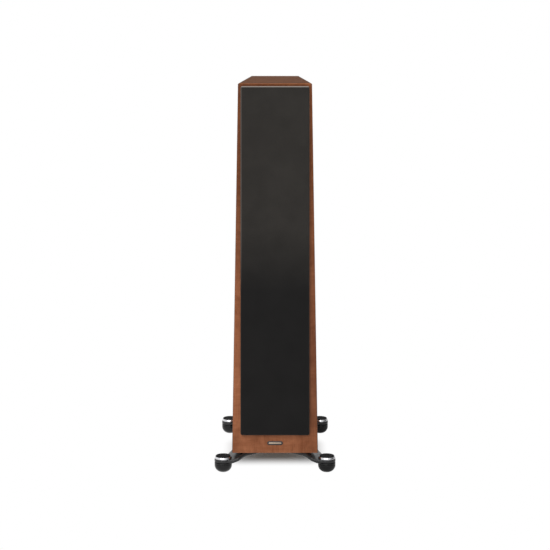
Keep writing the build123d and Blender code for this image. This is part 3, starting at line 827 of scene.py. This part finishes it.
class SPEAKER_OT_grille(bpy.types.Operator):
    """Stretch the cloth over the grille's frame"""

    bl_idname = "speaker.grille"
    bl_label = "Grille"

    def execute(self, context):
        settings = context.scene.speaker_grille
        paint("grille_frame", speckled("Grille frame", settings.frame_tone, 700, 0.00002, 0.24, 0.32))
        paint("grille_magnets", turned_metal("Grille magnets", (0.6, 0.6, 0.6), 0.2, 0.35, 900))
        low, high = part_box("grille_frame")
        front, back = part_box("grille_cloth")[0].y, high.y - settings.bare_side
        base_half, top_half = high.x, max(corner.co.x for corner in nodes["grille_frame"].data.vertices
                                          if corner.co.z > high.z - 0.012)
        roll, thickness = settings.edge_roll, settings.cloth_thickness
        margin, corner_radius, least_radius = 0.0006, 0.0048, 0.0003

        def section(skin):
            """The cloth's edge in section as (inset, depth), this far inside its outer face."""
            return [(skin, back)] + [(skin + (roll - skin) * (1 - math.cos(angle)),
                                      front + skin + (roll - skin) * (1 - math.sin(angle)))
                                     for angle in angles(8)]

        loops = [self.tapered(base_half + margin - inset, top_half + margin - inset, low.z - margin + inset,
                              high.z + margin - inset, max(corner_radius - inset, least_radius), depth)
                 for inset, depth in section(thickness)[::-1] + section(0.0)]
        cloth = piece("grille_cloth_stretched", looped_mesh(loops, grille_cloth(settings), 60.0), "grille",
                      "grille_cloth", "grille_cloth")
        return {"FINISHED"}

    def tapered(self, base_half, top_half, base, top, rounding, depth):
        """A loop round an upright trapezium with rounded corners, at a depth Y."""
        loop = []
        for across, up in rounded_rectangle(2.0, top - base, rounding):
            share = (up + (top - base) / 2) / (top - base)
            half = base_half + (top_half - base_half) * share
            loop.append(Vector((math.copysign(half - (1.0 - abs(across)), across), depth,
                                base + up + (top - base) / 2)))
        return loop


class SPEAKER_OT_badge(bpy.types.Operator):
    """Make the plain badge on the plinth of the baffle"""

    bl_idname = "speaker.badge"
    bl_label = "Badge"

    def execute(self, context):
        settings = context.scene.speaker_grille
        back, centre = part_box("badge")[1].y, middle("badge")
        width, thickness, height = size("badge")

        def loop(across, up, rounding, level, steps):
            """A rounded rectangle at a level above the baffle."""
            return [Vector((centre.x + x, back - level, centre.z + z))
                    for x, z in rounded_rectangle(across, up, rounding, steps)]

        # The plate's rounding stops just short of half its height, so no two points meet.
        plate = [loop(width - 2 * inset, height - 2 * inset, (height / 2 - inset) * 0.98,
                      thickness * share, 8)
                 for inset, share in ((0, 0.0), (0, 0.7), (0.0003, 0.92), (0.0007, 1.0))]
        face = speckled("Badge face", settings.badge_tone, 900, 0.00002, 0.3, 0.42)
        piece("badge_plate", looped_mesh(plate, face), "cabinet", "badge", "badge")
        bar = [loop(width * 0.80 - 2 * inset, height * 0.34 - 2 * inset, 0.0009, thickness + rise, 5)
               for inset, rise in ((0, -0.0003), (0, 0.0001), (0.00015, 0.0002))]
        silver = speckled("Badge trim", settings.badge_silver, 900, 0.00002, 0.32, 0.45, Metallic=1.0)
        piece("badge_bar", looped_mesh(bar, silver), "cabinet", "badge")
        return {"FINISHED"}


class SPEAKER_OT_woofers(bpy.types.Operator):
    """Make the cones, surrounds and screws of both woofers"""

    bl_idname = "speaker.woofers"
    bl_label = "Woofers"

    def execute(self, context):
        settings = context.scene.speaker_drivers
        paper = pressed_paper(settings)
        rubber = speckled("Surround", settings.rubber_tone, 500, 0.00003, 0.5, 0.65)
        plain = {
            "basket": speckled("Cast basket", settings.basket_tone, 1400, 0.00005, 0.42, 0.55),
            "spider": woven("Spider", (0.30, 0.19, 0.06), 1200, 0.0001, 0.8, 0.9),
            "motor": speckled("Motor", context.scene.speaker_inside.ferrite_tone, 600, 0.00004, 0.35, 0.5),
        }
        steel = turned_metal("Driver screws", (0.045, 0.045, 0.048), 0.32, 0.45, 1500)
        head = screw_head(settings.screw_radius, 0.0016, 0.0017, 0.0012)
        for seed, woofer in enumerate(WOOFERS):
            place = on_face(f"{woofer}_cone", BAFFLE_Y, FRONT)
            self.cone(woofer, place, settings, paper)
            self.surround(woofer, place, settings, rubber)
            for part, finish in plain.items():
                paint(f"{woofer}_{part}", finish)
            ring = (size(f"{woofer}_basket").x / 2 + settings.roll_outer_radius + 0.003) / 2
            flange = Matrix.Translation((0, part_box(f"{woofer}_basket")[0].y - BAFFLE_Y, 0))
            fastener_set(f"{woofer}_screws", circle_of(settings.woofer_screws, ring, 22.5), flange @ place,
                         head, steel, seed)
        return {"FINISHED"}

    def cone(self, woofer, place, settings, paper):
        """The cone, with its dust cap in front and its former behind."""
        low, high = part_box(f"{woofer}_cone")
        rim, foot = BAFFLE_Y - low.y, BAFFLE_Y - high.y
        edge, coil, cap = settings.roll_inner_radius, settings.coil_radius, settings.cap_radius
        spider_to_neck = 0.0164
        neck = BAFFLE_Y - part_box(f"{woofer}_spider")[0].y + spider_to_neck
        cap_edge = rim - (rim - neck) / (edge - coil) * (edge - cap)
        wall, former_wall, cap_height, cap_turn, deepest_sag = 0.0016, 0.0008, 0.006, 1.2, 0.0022

        def sag(share):
            """How far the bowl hangs below a straight cone."""
            return deepest_sag * math.sin(math.pi * share)

        outline = [(cap * math.sin(angle) / math.sin(cap_turn), cap_edge
                    + cap_height * (math.cos(angle) - math.cos(cap_turn)) / (1 - math.cos(cap_turn)))
                   for angle in angles(12, cap_turn)]
        outline += [(cap + 0.0006, cap_edge - 0.0002), (cap + wall, cap_edge + 0.0006)]
        outline += [(cap + wall + (edge - 0.001 - cap - wall) * share,
                     cap_edge + 0.0006 + (rim - 0.0003 - cap_edge - 0.0006) * share - sag(share))
                    for share in shares(14)[1:]]
        outline += [(edge, rim - 0.0006), (edge - 0.0002, rim - wall)]
        outline += [(edge - (edge - coil) * share, rim - wall - (rim - neck) * share - sag(share))
                    for share in (0.2, 0.4, 0.6, 0.8)]
        outline += [(coil, neck - wall), (coil, foot), (coil - former_wall, foot),
                    (coil - former_wall, cap_edge - wall), (0, cap_edge - wall)]
        piece(f"{woofer}_cone_moulded", turned_mesh(outline, place, paper, 120), f"{woofer}_diaphragm",
              "cone", f"{woofer}_cone")

    def surround(self, woofer, place, settings, rubber):
        """A half roll of rubber: its outer lip stays with the basket and its inner edge follows the cone."""
        inner, outer = settings.roll_inner_radius, settings.roll_outer_radius
        crest = BAFFLE_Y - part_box(f"{woofer}_surround")[0].y
        base = BAFFLE_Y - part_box(f"{woofer}_cone")[0].y + 0.0003
        lip = size(f"{woofer}_surround").x / 2
        mean, reach = (inner + outer) / 2, (outer - inner) / 2
        skin, rise, lap = 0.0006, 0.0008, 0.002
        half_turn = angles(12, math.pi)
        outline = [(lip, base), (lip, base + skin), (outer + rise, base + rise)]
        outline += [(mean + reach * math.cos(angle), base + rise + (crest - base - rise) * math.sin(angle))
                    for angle in half_turn]
        outline += [(inner - lap, base + skin), (inner - lap, base)]
        outline += [(mean + (reach - skin) * math.cos(angle), base + (crest - skin - base) * math.sin(angle))
                    for angle in half_turn[::-1]]
        mesh = turned_mesh(outline, place, rubber, 96, 40.0, closed=True)
        roll = linked(f"{woofer}_surround_roll", mesh)
        centre = place.translation
        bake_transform(roll, "cabinet", f"{woofer}_diaphragm", centre + Vector((0, 0, outer)),
                 centre + Vector((0, 0, inner)))
        weights = []
        for corner in mesh.vertices:
            radius = math.hypot(corner.co.x - centre.x, corner.co.z - centre.z)
            share = min(max((outer - radius) / (outer - inner), 0.0), 1.0)
            weights.append(share * share * (3 - 2 * share))
        mesh.attributes["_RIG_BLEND"].data.foreach_set("value", weights)
        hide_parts(f"{woofer}_surround")


class SPEAKER_OT_tweeter(bpy.types.Operator):
    """Make the tweeter's faceplate, dome and screws"""

    bl_idname = "speaker.tweeter"
    bl_label = "Tweeter"

    def execute(self, context):
        settings = context.scene.speaker_drivers
        place = on_face("tweeter_faceplate", BAFFLE_Y, FRONT)
        rim = BAFFLE_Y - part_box("tweeter_faceplate")[0].y
        radius = size("tweeter_faceplate").x / 2
        throat = size("tweeter_dome").x / 2 + 0.0003
        lip, flare, land, screw_inset = 0.002, 0.015, 0.020, 0.0075
        outline = rounded_line([(radius, 0.0, 0), (throat + lip, 0.0, 0)])
        outline += [Vector((throat + flare * share, rim * math.sin(share * QUARTER) ** 0.9))
                    for share in shares(10)]
        outline += rounded_line([(throat + land, rim, 0), (radius, rim, 0.0008), (radius, 0.0, 0)], 4)[:-1]
        cast = speckled("Tweeter faceplate", settings.basket_tone, 1400, 0.00005, 0.42, 0.55)
        piece("tweeter_flare", turned_mesh(outline[::-1], place, cast, 120, 35.0, closed=True), "cabinet",
              "basket", "tweeter_faceplate")

        low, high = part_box("tweeter_dome")
        crown, floor, edge = BAFFLE_Y - low.y, BAFFLE_Y - high.y, (high.x - low.x) / 2
        skirt = floor + 0.0012
        foot = skirt + 0.0004
        outline = [(edge * 0.86 * math.sin(angle), foot + (crown - foot) * math.cos(angle))
                   for angle in angles(12)]
        outline += [(edge * (0.93 + 0.07 * math.cos(angle)), skirt + 0.0009 * math.sin(angle))
                    for angle in (math.pi * (1 - share) for share in shares(8))]
        outline += [(edge, floor), (0, floor)]
        silk = woven("Tweeter dome", settings.dome_tone, 2500, 0.00003, 0.35, 0.5, Coat_Weight=0.3,
                     Coat_Roughness=0.4)
        piece("tweeter_silk_dome", turned_mesh(outline, place, silk, 96, 40.0), "tweeter_diaphragm", "dome",
              "tweeter_dome")
        ferrite = context.scene.speaker_inside.ferrite_tone
        paint("tweeter_motor", speckled("Tweeter motor", ferrite, 600, 0.00004, 0.35, 0.5))
        fastener_set("tweeter_screws", circle_of(settings.tweeter_screws, radius - screw_inset, 30),
                     Matrix.Translation((0, -rim, 0)) @ place,
                     screw_head(settings.screw_radius * 0.9, 0.0014, 0.0015, 0.001),
                     turned_metal("Tweeter screws", (0.045, 0.045, 0.048), 0.32, 0.45, 1500), 7)
        return {"FINISHED"}


class SPEAKER_OT_port(bpy.types.Operator):
    """Make the flared reflex port"""

    bl_idname = "speaker.port"
    bl_label = "Port"

    def execute(self, context):
        settings = context.scene.speaker_rear
        place = on_face("port_tube", REAR_Y, REAR)
        low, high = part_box("port_tube")
        front, back, flange = high.y - REAR_Y, low.y - REAR_Y, (high.x - low.x) / 2
        bore, wall, mouth = settings.port_radius, settings.tube_wall, settings.mouth_radius
        throat = -0.014  # the level at which the flare begins
        outline = [Vector((bore + (mouth - bore) * (1 - math.cos(angle)),
                           throat + (front - 0.0004 - throat) * math.sin(angle))) for angle in angles(12)]
        outline += rounded_line([(mouth + 0.001, front, 0), (flange, front, 0.0012), (flange, 0, 0)], 5)
        outline += rounded_line([(mouth + wall, 0, 0), (bore + wall, throat - wall, 0),
                                 (bore + wall, back, 0), (bore, back, 0)])
        moulding = speckled("Port moulding", settings.moulding_tone, 900, 0.00005, 0.4, 0.55)
        piece("port_flare", turned_mesh(outline, place, moulding, 96, 35.0, closed=True), "cabinet",
              "black_moulding", "port_tube")
        fastener_set("port_screws", circle_of(4, (mouth + flange) / 2 + 0.0002, 45),
                     Matrix.Translation((0, front - 0.0002, 0)) @ place,
                     screw_head(0.0026, 0.0008, 0.0013, 0.0006),
                     turned_metal("Port screws", (0.05, 0.05, 0.053), 0.32, 0.45, 1500), 11)
        return {"FINISHED"}


class SPEAKER_OT_terminals(bpy.types.Operator):
    """Make the terminal plate, the posts and their caps"""

    bl_idname = "speaker.terminals"
    bl_label = "Terminals"

    def execute(self, context):
        settings = context.scene.speaker_rear
        moulding = speckled("Terminal moulding", settings.moulding_tone, 900, 0.00005, 0.4, 0.55)
        piece("terminal_tub", softened("terminal_plate", 0.0009, moulding), "cabinet", "black_moulding",
              "terminal_plate")
        low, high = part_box("terminal_plate")
        margin = 0.0052
        across, up = (high.x - low.x) / 2 - margin, (high.z - low.z) / 2 - margin
        fastener_set("terminal_screws", [(side * across, rise * up) for side in (-1, 1) for rise in (-1, 1)],
                     on_face("terminal_plate", high.y, REAR), screw_head(0.0029, 0.0012, 0.0014, 0.0008),
                     turned_metal("Terminal screws", (0.05, 0.05, 0.053), 0.32, 0.45, 1500), 13)
        gold = turned_metal("Gold plating", settings.gold_tone, 0.14, 0.26, 1800)
        for side, name, slot, tone in (("left", "Minus cap", "black_knob", settings.black_tone),
                                       ("right", "Plus cap", "red_knob", settings.red_tone)):
            paint(f"{side}_binding_post", gold)
            self.cap(side, slot, speckled(name, tone, 700, 0.00003, 0.28, 0.4), gold, settings.flutes)
        return {"FINISHED"}

    def cap(self, side, slot, colour, gold, flutes):
        """A fluted cap between two plated rings."""
        node, body = f"{side}_post_knob", f"{side}_post_cap"
        low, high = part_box(node)
        radius, length = (high.z - low.z) / 2, high.y - low.y
        bore = size(f"{side}_binding_post").x / 2 + 0.0001
        place = on_face(node, low.y, REAR)

        def ring(outer, level, depth=0.0):
            """Points round the cap, drawn in by a depth at each flute."""
            points = []
            for angle in angles(flutes * 8, math.tau)[:-1]:
                reach = outer - depth * (0.5 - 0.5 * math.cos(flutes * angle)) ** 2
                points.append(place @ Vector((reach * math.cos(angle), reach * math.sin(angle), level)))
            return points

        flute, ring_height = 0.0009, 0.0022
        top = length - ring_height
        loops = [ring(bore, ring_height), ring(radius - 0.0006, ring_height), ring(radius, 0.0030, flute),
                 ring(radius, top - 0.0012, flute), ring(radius - 0.0003, top - 0.0004, flute),
                 ring(radius - 0.0010, top), ring(bore, top)]
        piece(f"{side}_cap_grip", looped_mesh(loops, colour, 32.0, closed=True), body, slot, node)
        rings = ((0.0, ring_height - 0.0001, radius - 0.0002), (top + 0.0001, length, radius - 0.0022))
        for index, (start, end, reach) in enumerate(rings):
            outline = rounded_line([(bore, start, 0), (bore, end, 0), (reach, end, 0.0005),
                                    (reach, start, 0)], 4)
            mesh = turned_mesh(outline, place, gold, 64, 35.0, closed=True)
            piece(f"{side}_cap_ring_{index}", mesh, body, slot)


class SPEAKER_OT_inside(bpy.types.Operator):
    """Finish the wadding, the crossover and the magnets inside the cabinet"""

    bl_idname = "speaker.inside"
    bl_label = "Inside"

    def execute(self, context):
        settings = context.scene.speaker_inside
        wool = woven("Wadding", settings.wadding_tone, 300, 0.0012, 0.9, 1.0, Sheen_Weight=0.4)
        for index, node in enumerate(("upper_wadding", "lower_wadding")):
            made = piece(f"{node}_pad", self.pad(node, wool, index), "cabinet", "wadding", node)
        for node, finish in {
                "baffle_magnets": turned_metal("Baffle magnets", settings.magnet_tone, 0.2, 0.35, 900),
                "crossover_board": bare_board("Crossover board", (0.20, 0.12, 0.06)),
                "crossover_coils": speckled("Coil windings", settings.copper_tone, 1500, 0.0002, 0.3, 0.45,
                                            Metallic=1.0),
                "crossover_capacitors": speckled("Capacitor film", settings.capacitor_tone, 500, 0.00003, 0.3,
                                                 0.4)}.items():
            paint(node, finish)
        return {"FINISHED"}

    def pad(self, node, wool, phase):
        """A soft lump of wadding, crowned towards the room and flat against the panel."""
        centre, sides = middle(node), size(node)
        shell = bmesh.new()
        bmesh.ops.create_cube(shell, size=1.0)
        bmesh.ops.subdivide_edges(shell, edges=shell.edges, cuts=11, use_grid_fill=True)
        for corner in shell.verts:
            x, y, z = (2 * part for part in corner.co)
            against_panel = y > 0.9
            pull = 1 - 0.10 * (abs(x) ** 4 * abs(z) ** 2 + abs(z) ** 4 * abs(x) ** 2) / 2
            crown = (1 - 0.55 * abs(x) ** 3) * (1 - 0.55 * abs(z) ** 3)
            depth = y if against_panel else (y + 1) * 0.5 * (1 + crown) - crown
            ripple = 0.0 if against_panel else 0.03 * math.sin(7 * x + phase) * math.sin(6 * z + 2 * phase)
            place = Vector((x * pull * 0.985, min(max(depth + ripple, -0.98), 0.985), z * pull * 0.985))
            corner.co = centre + place * sides / 2
        bmesh.ops.recalc_face_normals(shell, faces=shell.faces)
        return from_shell(shell, wool, 80.0)


class SPEAKER_OT_outriggers(bpy.types.Operator):
    """Finish the four outrigger arms and bolt them on"""

    bl_idname = "speaker.outriggers"
    bl_label = "Outriggers"

    def execute(self, context):
        settings = context.scene.speaker_feet
        coat = speckled("Arm coating", settings.arm_tone, 1300, 0.00004, 0.28, 0.38, Specular_IOR_Level=0.40)
        steel = turned_metal("Arm bolts", (0.07, 0.07, 0.073), 0.28, 0.4, 1500)
        head = screw_head(0.0055, 0.0035, 0.0028, 0.0024)
        inwards, along, below, spacing, drift = 0.013, 0.020, 0.010, 0.052, 0.004
        for index, foot in enumerate(FEET):
            node = f"{foot}_arm"
            piece(f"{node}_cast", softened(node, settings.arm_edge, coat), "cabinet", "arm", node)
            low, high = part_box(node)
            side, row = (1 if least > 0 else -1 for least in low[:2])
            inner, near = low.x if side > 0 else high.x, low.y if row > 0 else high.y
            under = Vector((inner + side * inwards, near + row * along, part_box("bottom_panel")[0].z - below))
            fastener_set(f"{foot}_bolts", [(0.0, 0.0), (drift * side, spacing * -row)], facing(under, -UP),
                         head, steel, 20 + index)
        return {"FINISHED"}


class SPEAKER_OT_feet(bpy.types.Operator):
    """Turn the cups, the handwheels and their caps"""

    bl_idname = "speaker.feet"
    bl_label = "Feet"

    def execute(self, context):
        settings = context.scene.speaker_feet
        black = lathed("Foot cup", settings.cup_tone, 0.05, 0.10, 1300, Specular_IOR_Level=0.32)
        stud = turned_metal("Foot stud", (0.35, 0.35, 0.36), 0.25, 0.35, 1600)
        chrome = turned_metal("Handwheel chrome", settings.chrome_tone, 0.08, 0.16, 1600)
        cap = speckled("Handwheel cap", settings.cap_tone, 1100, 0.00003, 0.55, 0.68, Specular_IOR_Level=0.03)
        for foot in FEET:
            centre = middle(f"{foot}_foot")
            place = Matrix.Translation((centre.x, centre.y, 0))
            self.leveller(settings, foot, place, black, stud)
            self.handwheel(settings, foot, place, chrome, cap)
        return {"FINISHED"}

    def leveller(self, settings, foot, place, black, stud):
        """A cup with a groove round its side and a round bottom, and the stud in it."""
        body = f"{foot}_leveller"
        radius, top = size(f"{foot}_foot").x / 2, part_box(f"{foot}_foot")[1].z
        cup_top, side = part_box(f"{foot}_arm")[0].z - 0.0003, settings.bowl_height
        groove, deep, shaft = (cup_top + side) / 2, radius - 0.0008, 0.004
        mouth_half, floor_half = 0.0009, 0.0005  # half the groove's height at its mouth and at its floor
        outline = rounded_line([
            (0, cup_top, 0), (radius, cup_top, 0.0012), (radius, groove + mouth_half, 0.0003),
            (deep, groove + floor_half, 0.0002), (deep, groove - floor_half, 0.0002),
            (radius, groove - mouth_half, 0.0003), (radius, side, 0)], 5)
        outline += self.bowl(radius, side, settings.pad_radius) + [Vector((0, 0))]
        piece(f"{foot}_cup", turned_mesh(outline, place, black, 112, 32.0), body, "foot", f"{foot}_foot")
        outline = rounded_line([(0, top, 0), (shaft, top, 0.0006), (shaft, cup_top - 0.0005, 0),
                                (0, cup_top - 0.0005, 0)], 4)
        piece(f"{foot}_stud", turned_mesh(outline, place, stud, 32, 32.0), body, "foot")

    def bowl(self, radius, height, pad):
        """Points down an arc that leaves an upright side at a height and ends on the rim of a flat pad."""
        inset = radius - pad
        turn_radius = (inset * inset + height * height) / (2 * inset)
        sweep = math.asin(height / turn_radius)
        if inset > turn_radius:
            sweep = math.pi - sweep
        centre = radius - turn_radius
        return [Vector((centre + turn_radius * math.cos(angle), height - turn_radius * math.sin(angle)))
                for angle in angles(14, sweep)[1:]]

    def handwheel(self, settings, foot, place, chrome, cap):
        """A bright ring with a slight draft and a bevelled rim, and the black disc on it."""
        body = f"{foot}_handwheel"
        low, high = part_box(f"{foot}_knob")
        radius, bore, bevel_across, bevel_down = (high.x - low.x) / 2, 0.0043, 0.0021, 0.0026
        outline = rounded_line([
            (bore, high.z, 0), (radius - bevel_across, high.z, 0.0003),
            (radius - settings.ring_draft, high.z - bevel_down, 0.0006), (radius, low.z, 0.0005),
            (bore, low.z, 0)], 5)
        piece(f"{foot}_wheel", turned_mesh(outline, place, chrome, 112, 30.0, closed=True), body, "knob",
              f"{foot}_knob")
        low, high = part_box(f"{foot}_knob_cap")
        radius, dish = (high.x - low.x) / 2, high.z - 0.0003
        dish_floor, dish_rim = 0.30, 0.33  # shares of the radius
        outline = rounded_line([
            (0, dish, 0), (radius * dish_floor, dish, 0.0002), (radius * dish_rim, high.z, 0.0003),
            (radius, high.z, 0.0006), (radius, low.z, 0), (0, low.z, 0)], 5)
        piece(f"{foot}_disc", turned_mesh(outline, place, cap, 112, 30.0), body, "knob_cap",
              f"{foot}_knob_cap")


class SPEAKER_OT_stage(bpy.types.Operator):
    """Set the camera, the pale floor and the soft light"""

    bl_idname = "speaker.stage"
    bl_label = "Stage"

    def execute(self, context):
        settings = context.scene.speaker_stage
        scene = context.scene
        scene.view_settings.view_transform = "Standard"
        camera = linked("camera", bpy.data.cameras.new("camera"))
        camera.data.lens = settings.lens
        camera.location = (0, -settings.camera_distance, settings.camera_height)
        camera.rotation_euler = Euler((QUARTER - settings.camera_drop, 0, 0))
        scene.camera = camera
        self.room(scene, settings)
        sun = linked("main_light", bpy.data.lights.new("main_light", "SUN"))
        sun.data.energy = settings.sun
        sun.data.angle = math.radians(50)
        light_falls = Vector((0.22, 0.80, -0.55))
        sun.rotation_euler = light_falls.to_track_quat("-Z", "Y").to_euler()
        reach = 8
        corners = [(-reach, -reach, 0), (reach, -reach, 0), (reach, reach, 0), (-reach, reach, 0)]
        floor = linked("floor", faced(corners, faces=[(0, 1, 2, 3)]))
        floor.data.materials.append(self.floor_finish(settings))
        return {"FINISHED"}

    def room(self, scene, settings):
        """Soft light all round, weaker from the right. The camera sees it white."""
        scene.world = bpy.data.worlds.new("room")
        scene.world.use_nodes = True
        graph = Graph(scene.world.node_tree)
        x = graph.split(graph.node("TexCoord").outputs["Generated"])[0]
        rays = graph.node("LightPath").outputs
        total = None
        for seen, strength, share, start, end in (
                ("Is Camera Ray", 1.0, 1.0, 0.0, 1.0), ("Is Transmission Ray", 1.0, 1.0, 0.0, 1.0),
                ("Is Glossy Ray", 1.0, settings.right_reflection, 0.50, 0.97),
                ("Is Diffuse Ray", settings.ambient, settings.right_share, 0.1, 0.8)):
            part = graph.spread(x, start, end, strength, strength * share) * rays[seen]
            total = total.most(part) if total else part
        background = graph.tree.nodes["Background"]
        background.inputs["Color"].default_value = (*WHITE, 1.0)
        graph.feed(background.inputs["Strength"], total)

    def floor_finish(self, settings):
        """A pale floor that keeps the shadow under the object and is white around it."""
        finish = Finish("Floor", Roughness=0.9, Specular_IOR_Level=0.1)
        tone = finish.banded(finish.noise(60, 3, 0.6), 0.3, 0.7, settings.floor_tone, 0.985)
        finish.feed(finish.shader.inputs["Base Color"], tone)
        x, y, _ = finish.split(finish.place)
        half_width, half_depth = size("front_baffle").x / 2, (REAR_Y - BAFFLE_Y) / 2
        across, along = (((abs(part) - inner).most(0.0) * steepness) ** 2.0 for part, inner, steepness in (
            (x, half_width - settings.shade_inset / 5, 1.6), (y, half_depth - settings.shade_inset, 1.0)))
        open_floor = finish.spread((across + along).root(), 0.0, settings.shade_reach,
                                   interpolation="SMOOTHSTEP")
        rays = {name: Value(finish, ray) for name, ray in finish.node("LightPath").outputs.items()}
        in_reflection = rays["Is Glossy Ray"] * finish.spread(x, -0.14, 0.12, 1.0, settings.right_reflection)
        seen = rays["Is Camera Ray"].most(rays["Is Transmission Ray"]).most(in_reflection)
        blend = finish.node("MixShader")
        for socket, value in enumerate((seen * open_floor, finish.shader.outputs[0],
                                        finish.node("Emission").outputs[0])):
            finish.feed(blend.inputs[socket], value)
        finish.feed(finish.tree.nodes["Material Output"].inputs["Surface"], blend.outputs[0])
        return finish.material


STEPS = (
    SPEAKER_OT_stage,
    SPEAKER_OT_cabinet,
    SPEAKER_OT_grille,
    SPEAKER_OT_badge,
    SPEAKER_OT_woofers,
    SPEAKER_OT_tweeter,
    SPEAKER_OT_port,
    SPEAKER_OT_terminals,
    SPEAKER_OT_inside,
    SPEAKER_OT_outriggers,
    SPEAKER_OT_feet,
)


class SPEAKER_PT_panel(bpy.types.Panel):
    """Lists the steps and the settings of the loudspeaker"""

    bl_idname = "SPEAKER_PT_panel"
    bl_label = "Loudspeaker"
    bl_space_type = "VIEW_3D"
    bl_region_type = "UI"
    bl_category = "Loudspeaker"

    def draw(self, context):
        for step in STEPS:
            self.layout.operator(step.bl_idname)
        for name, group in SETTINGS.items():
            box = self.layout.box()
            box.label(text=group.__doc__)
            for setting in group.__annotations__:
                box.prop(getattr(context.scene, f"speaker_{name}"), setting)


def register():
    for group in SETTINGS.values():
        bpy.utils.register_class(group)
    for name, group in SETTINGS.items():
        setattr(bpy.types.Scene, f"speaker_{name}", PointerProperty(type=group))
    for step in STEPS:
        bpy.utils.register_class(step)
    bpy.utils.register_class(SPEAKER_PT_panel)


def unregister():
    bpy.utils.unregister_class(SPEAKER_PT_panel)
    for step in reversed(STEPS):
        bpy.utils.unregister_class(step)
    for name, group in SETTINGS.items():
        delattr(bpy.types.Scene, f"speaker_{name}")
        bpy.utils.unregister_class(group)


def main():
    """Registers the add-on and runs every step in order."""
    register()
    for step in STEPS:
        group, name = step.bl_idname.split(".")
        getattr(getattr(bpy.ops, group), name)()


if __name__ == "__main__":
    main()
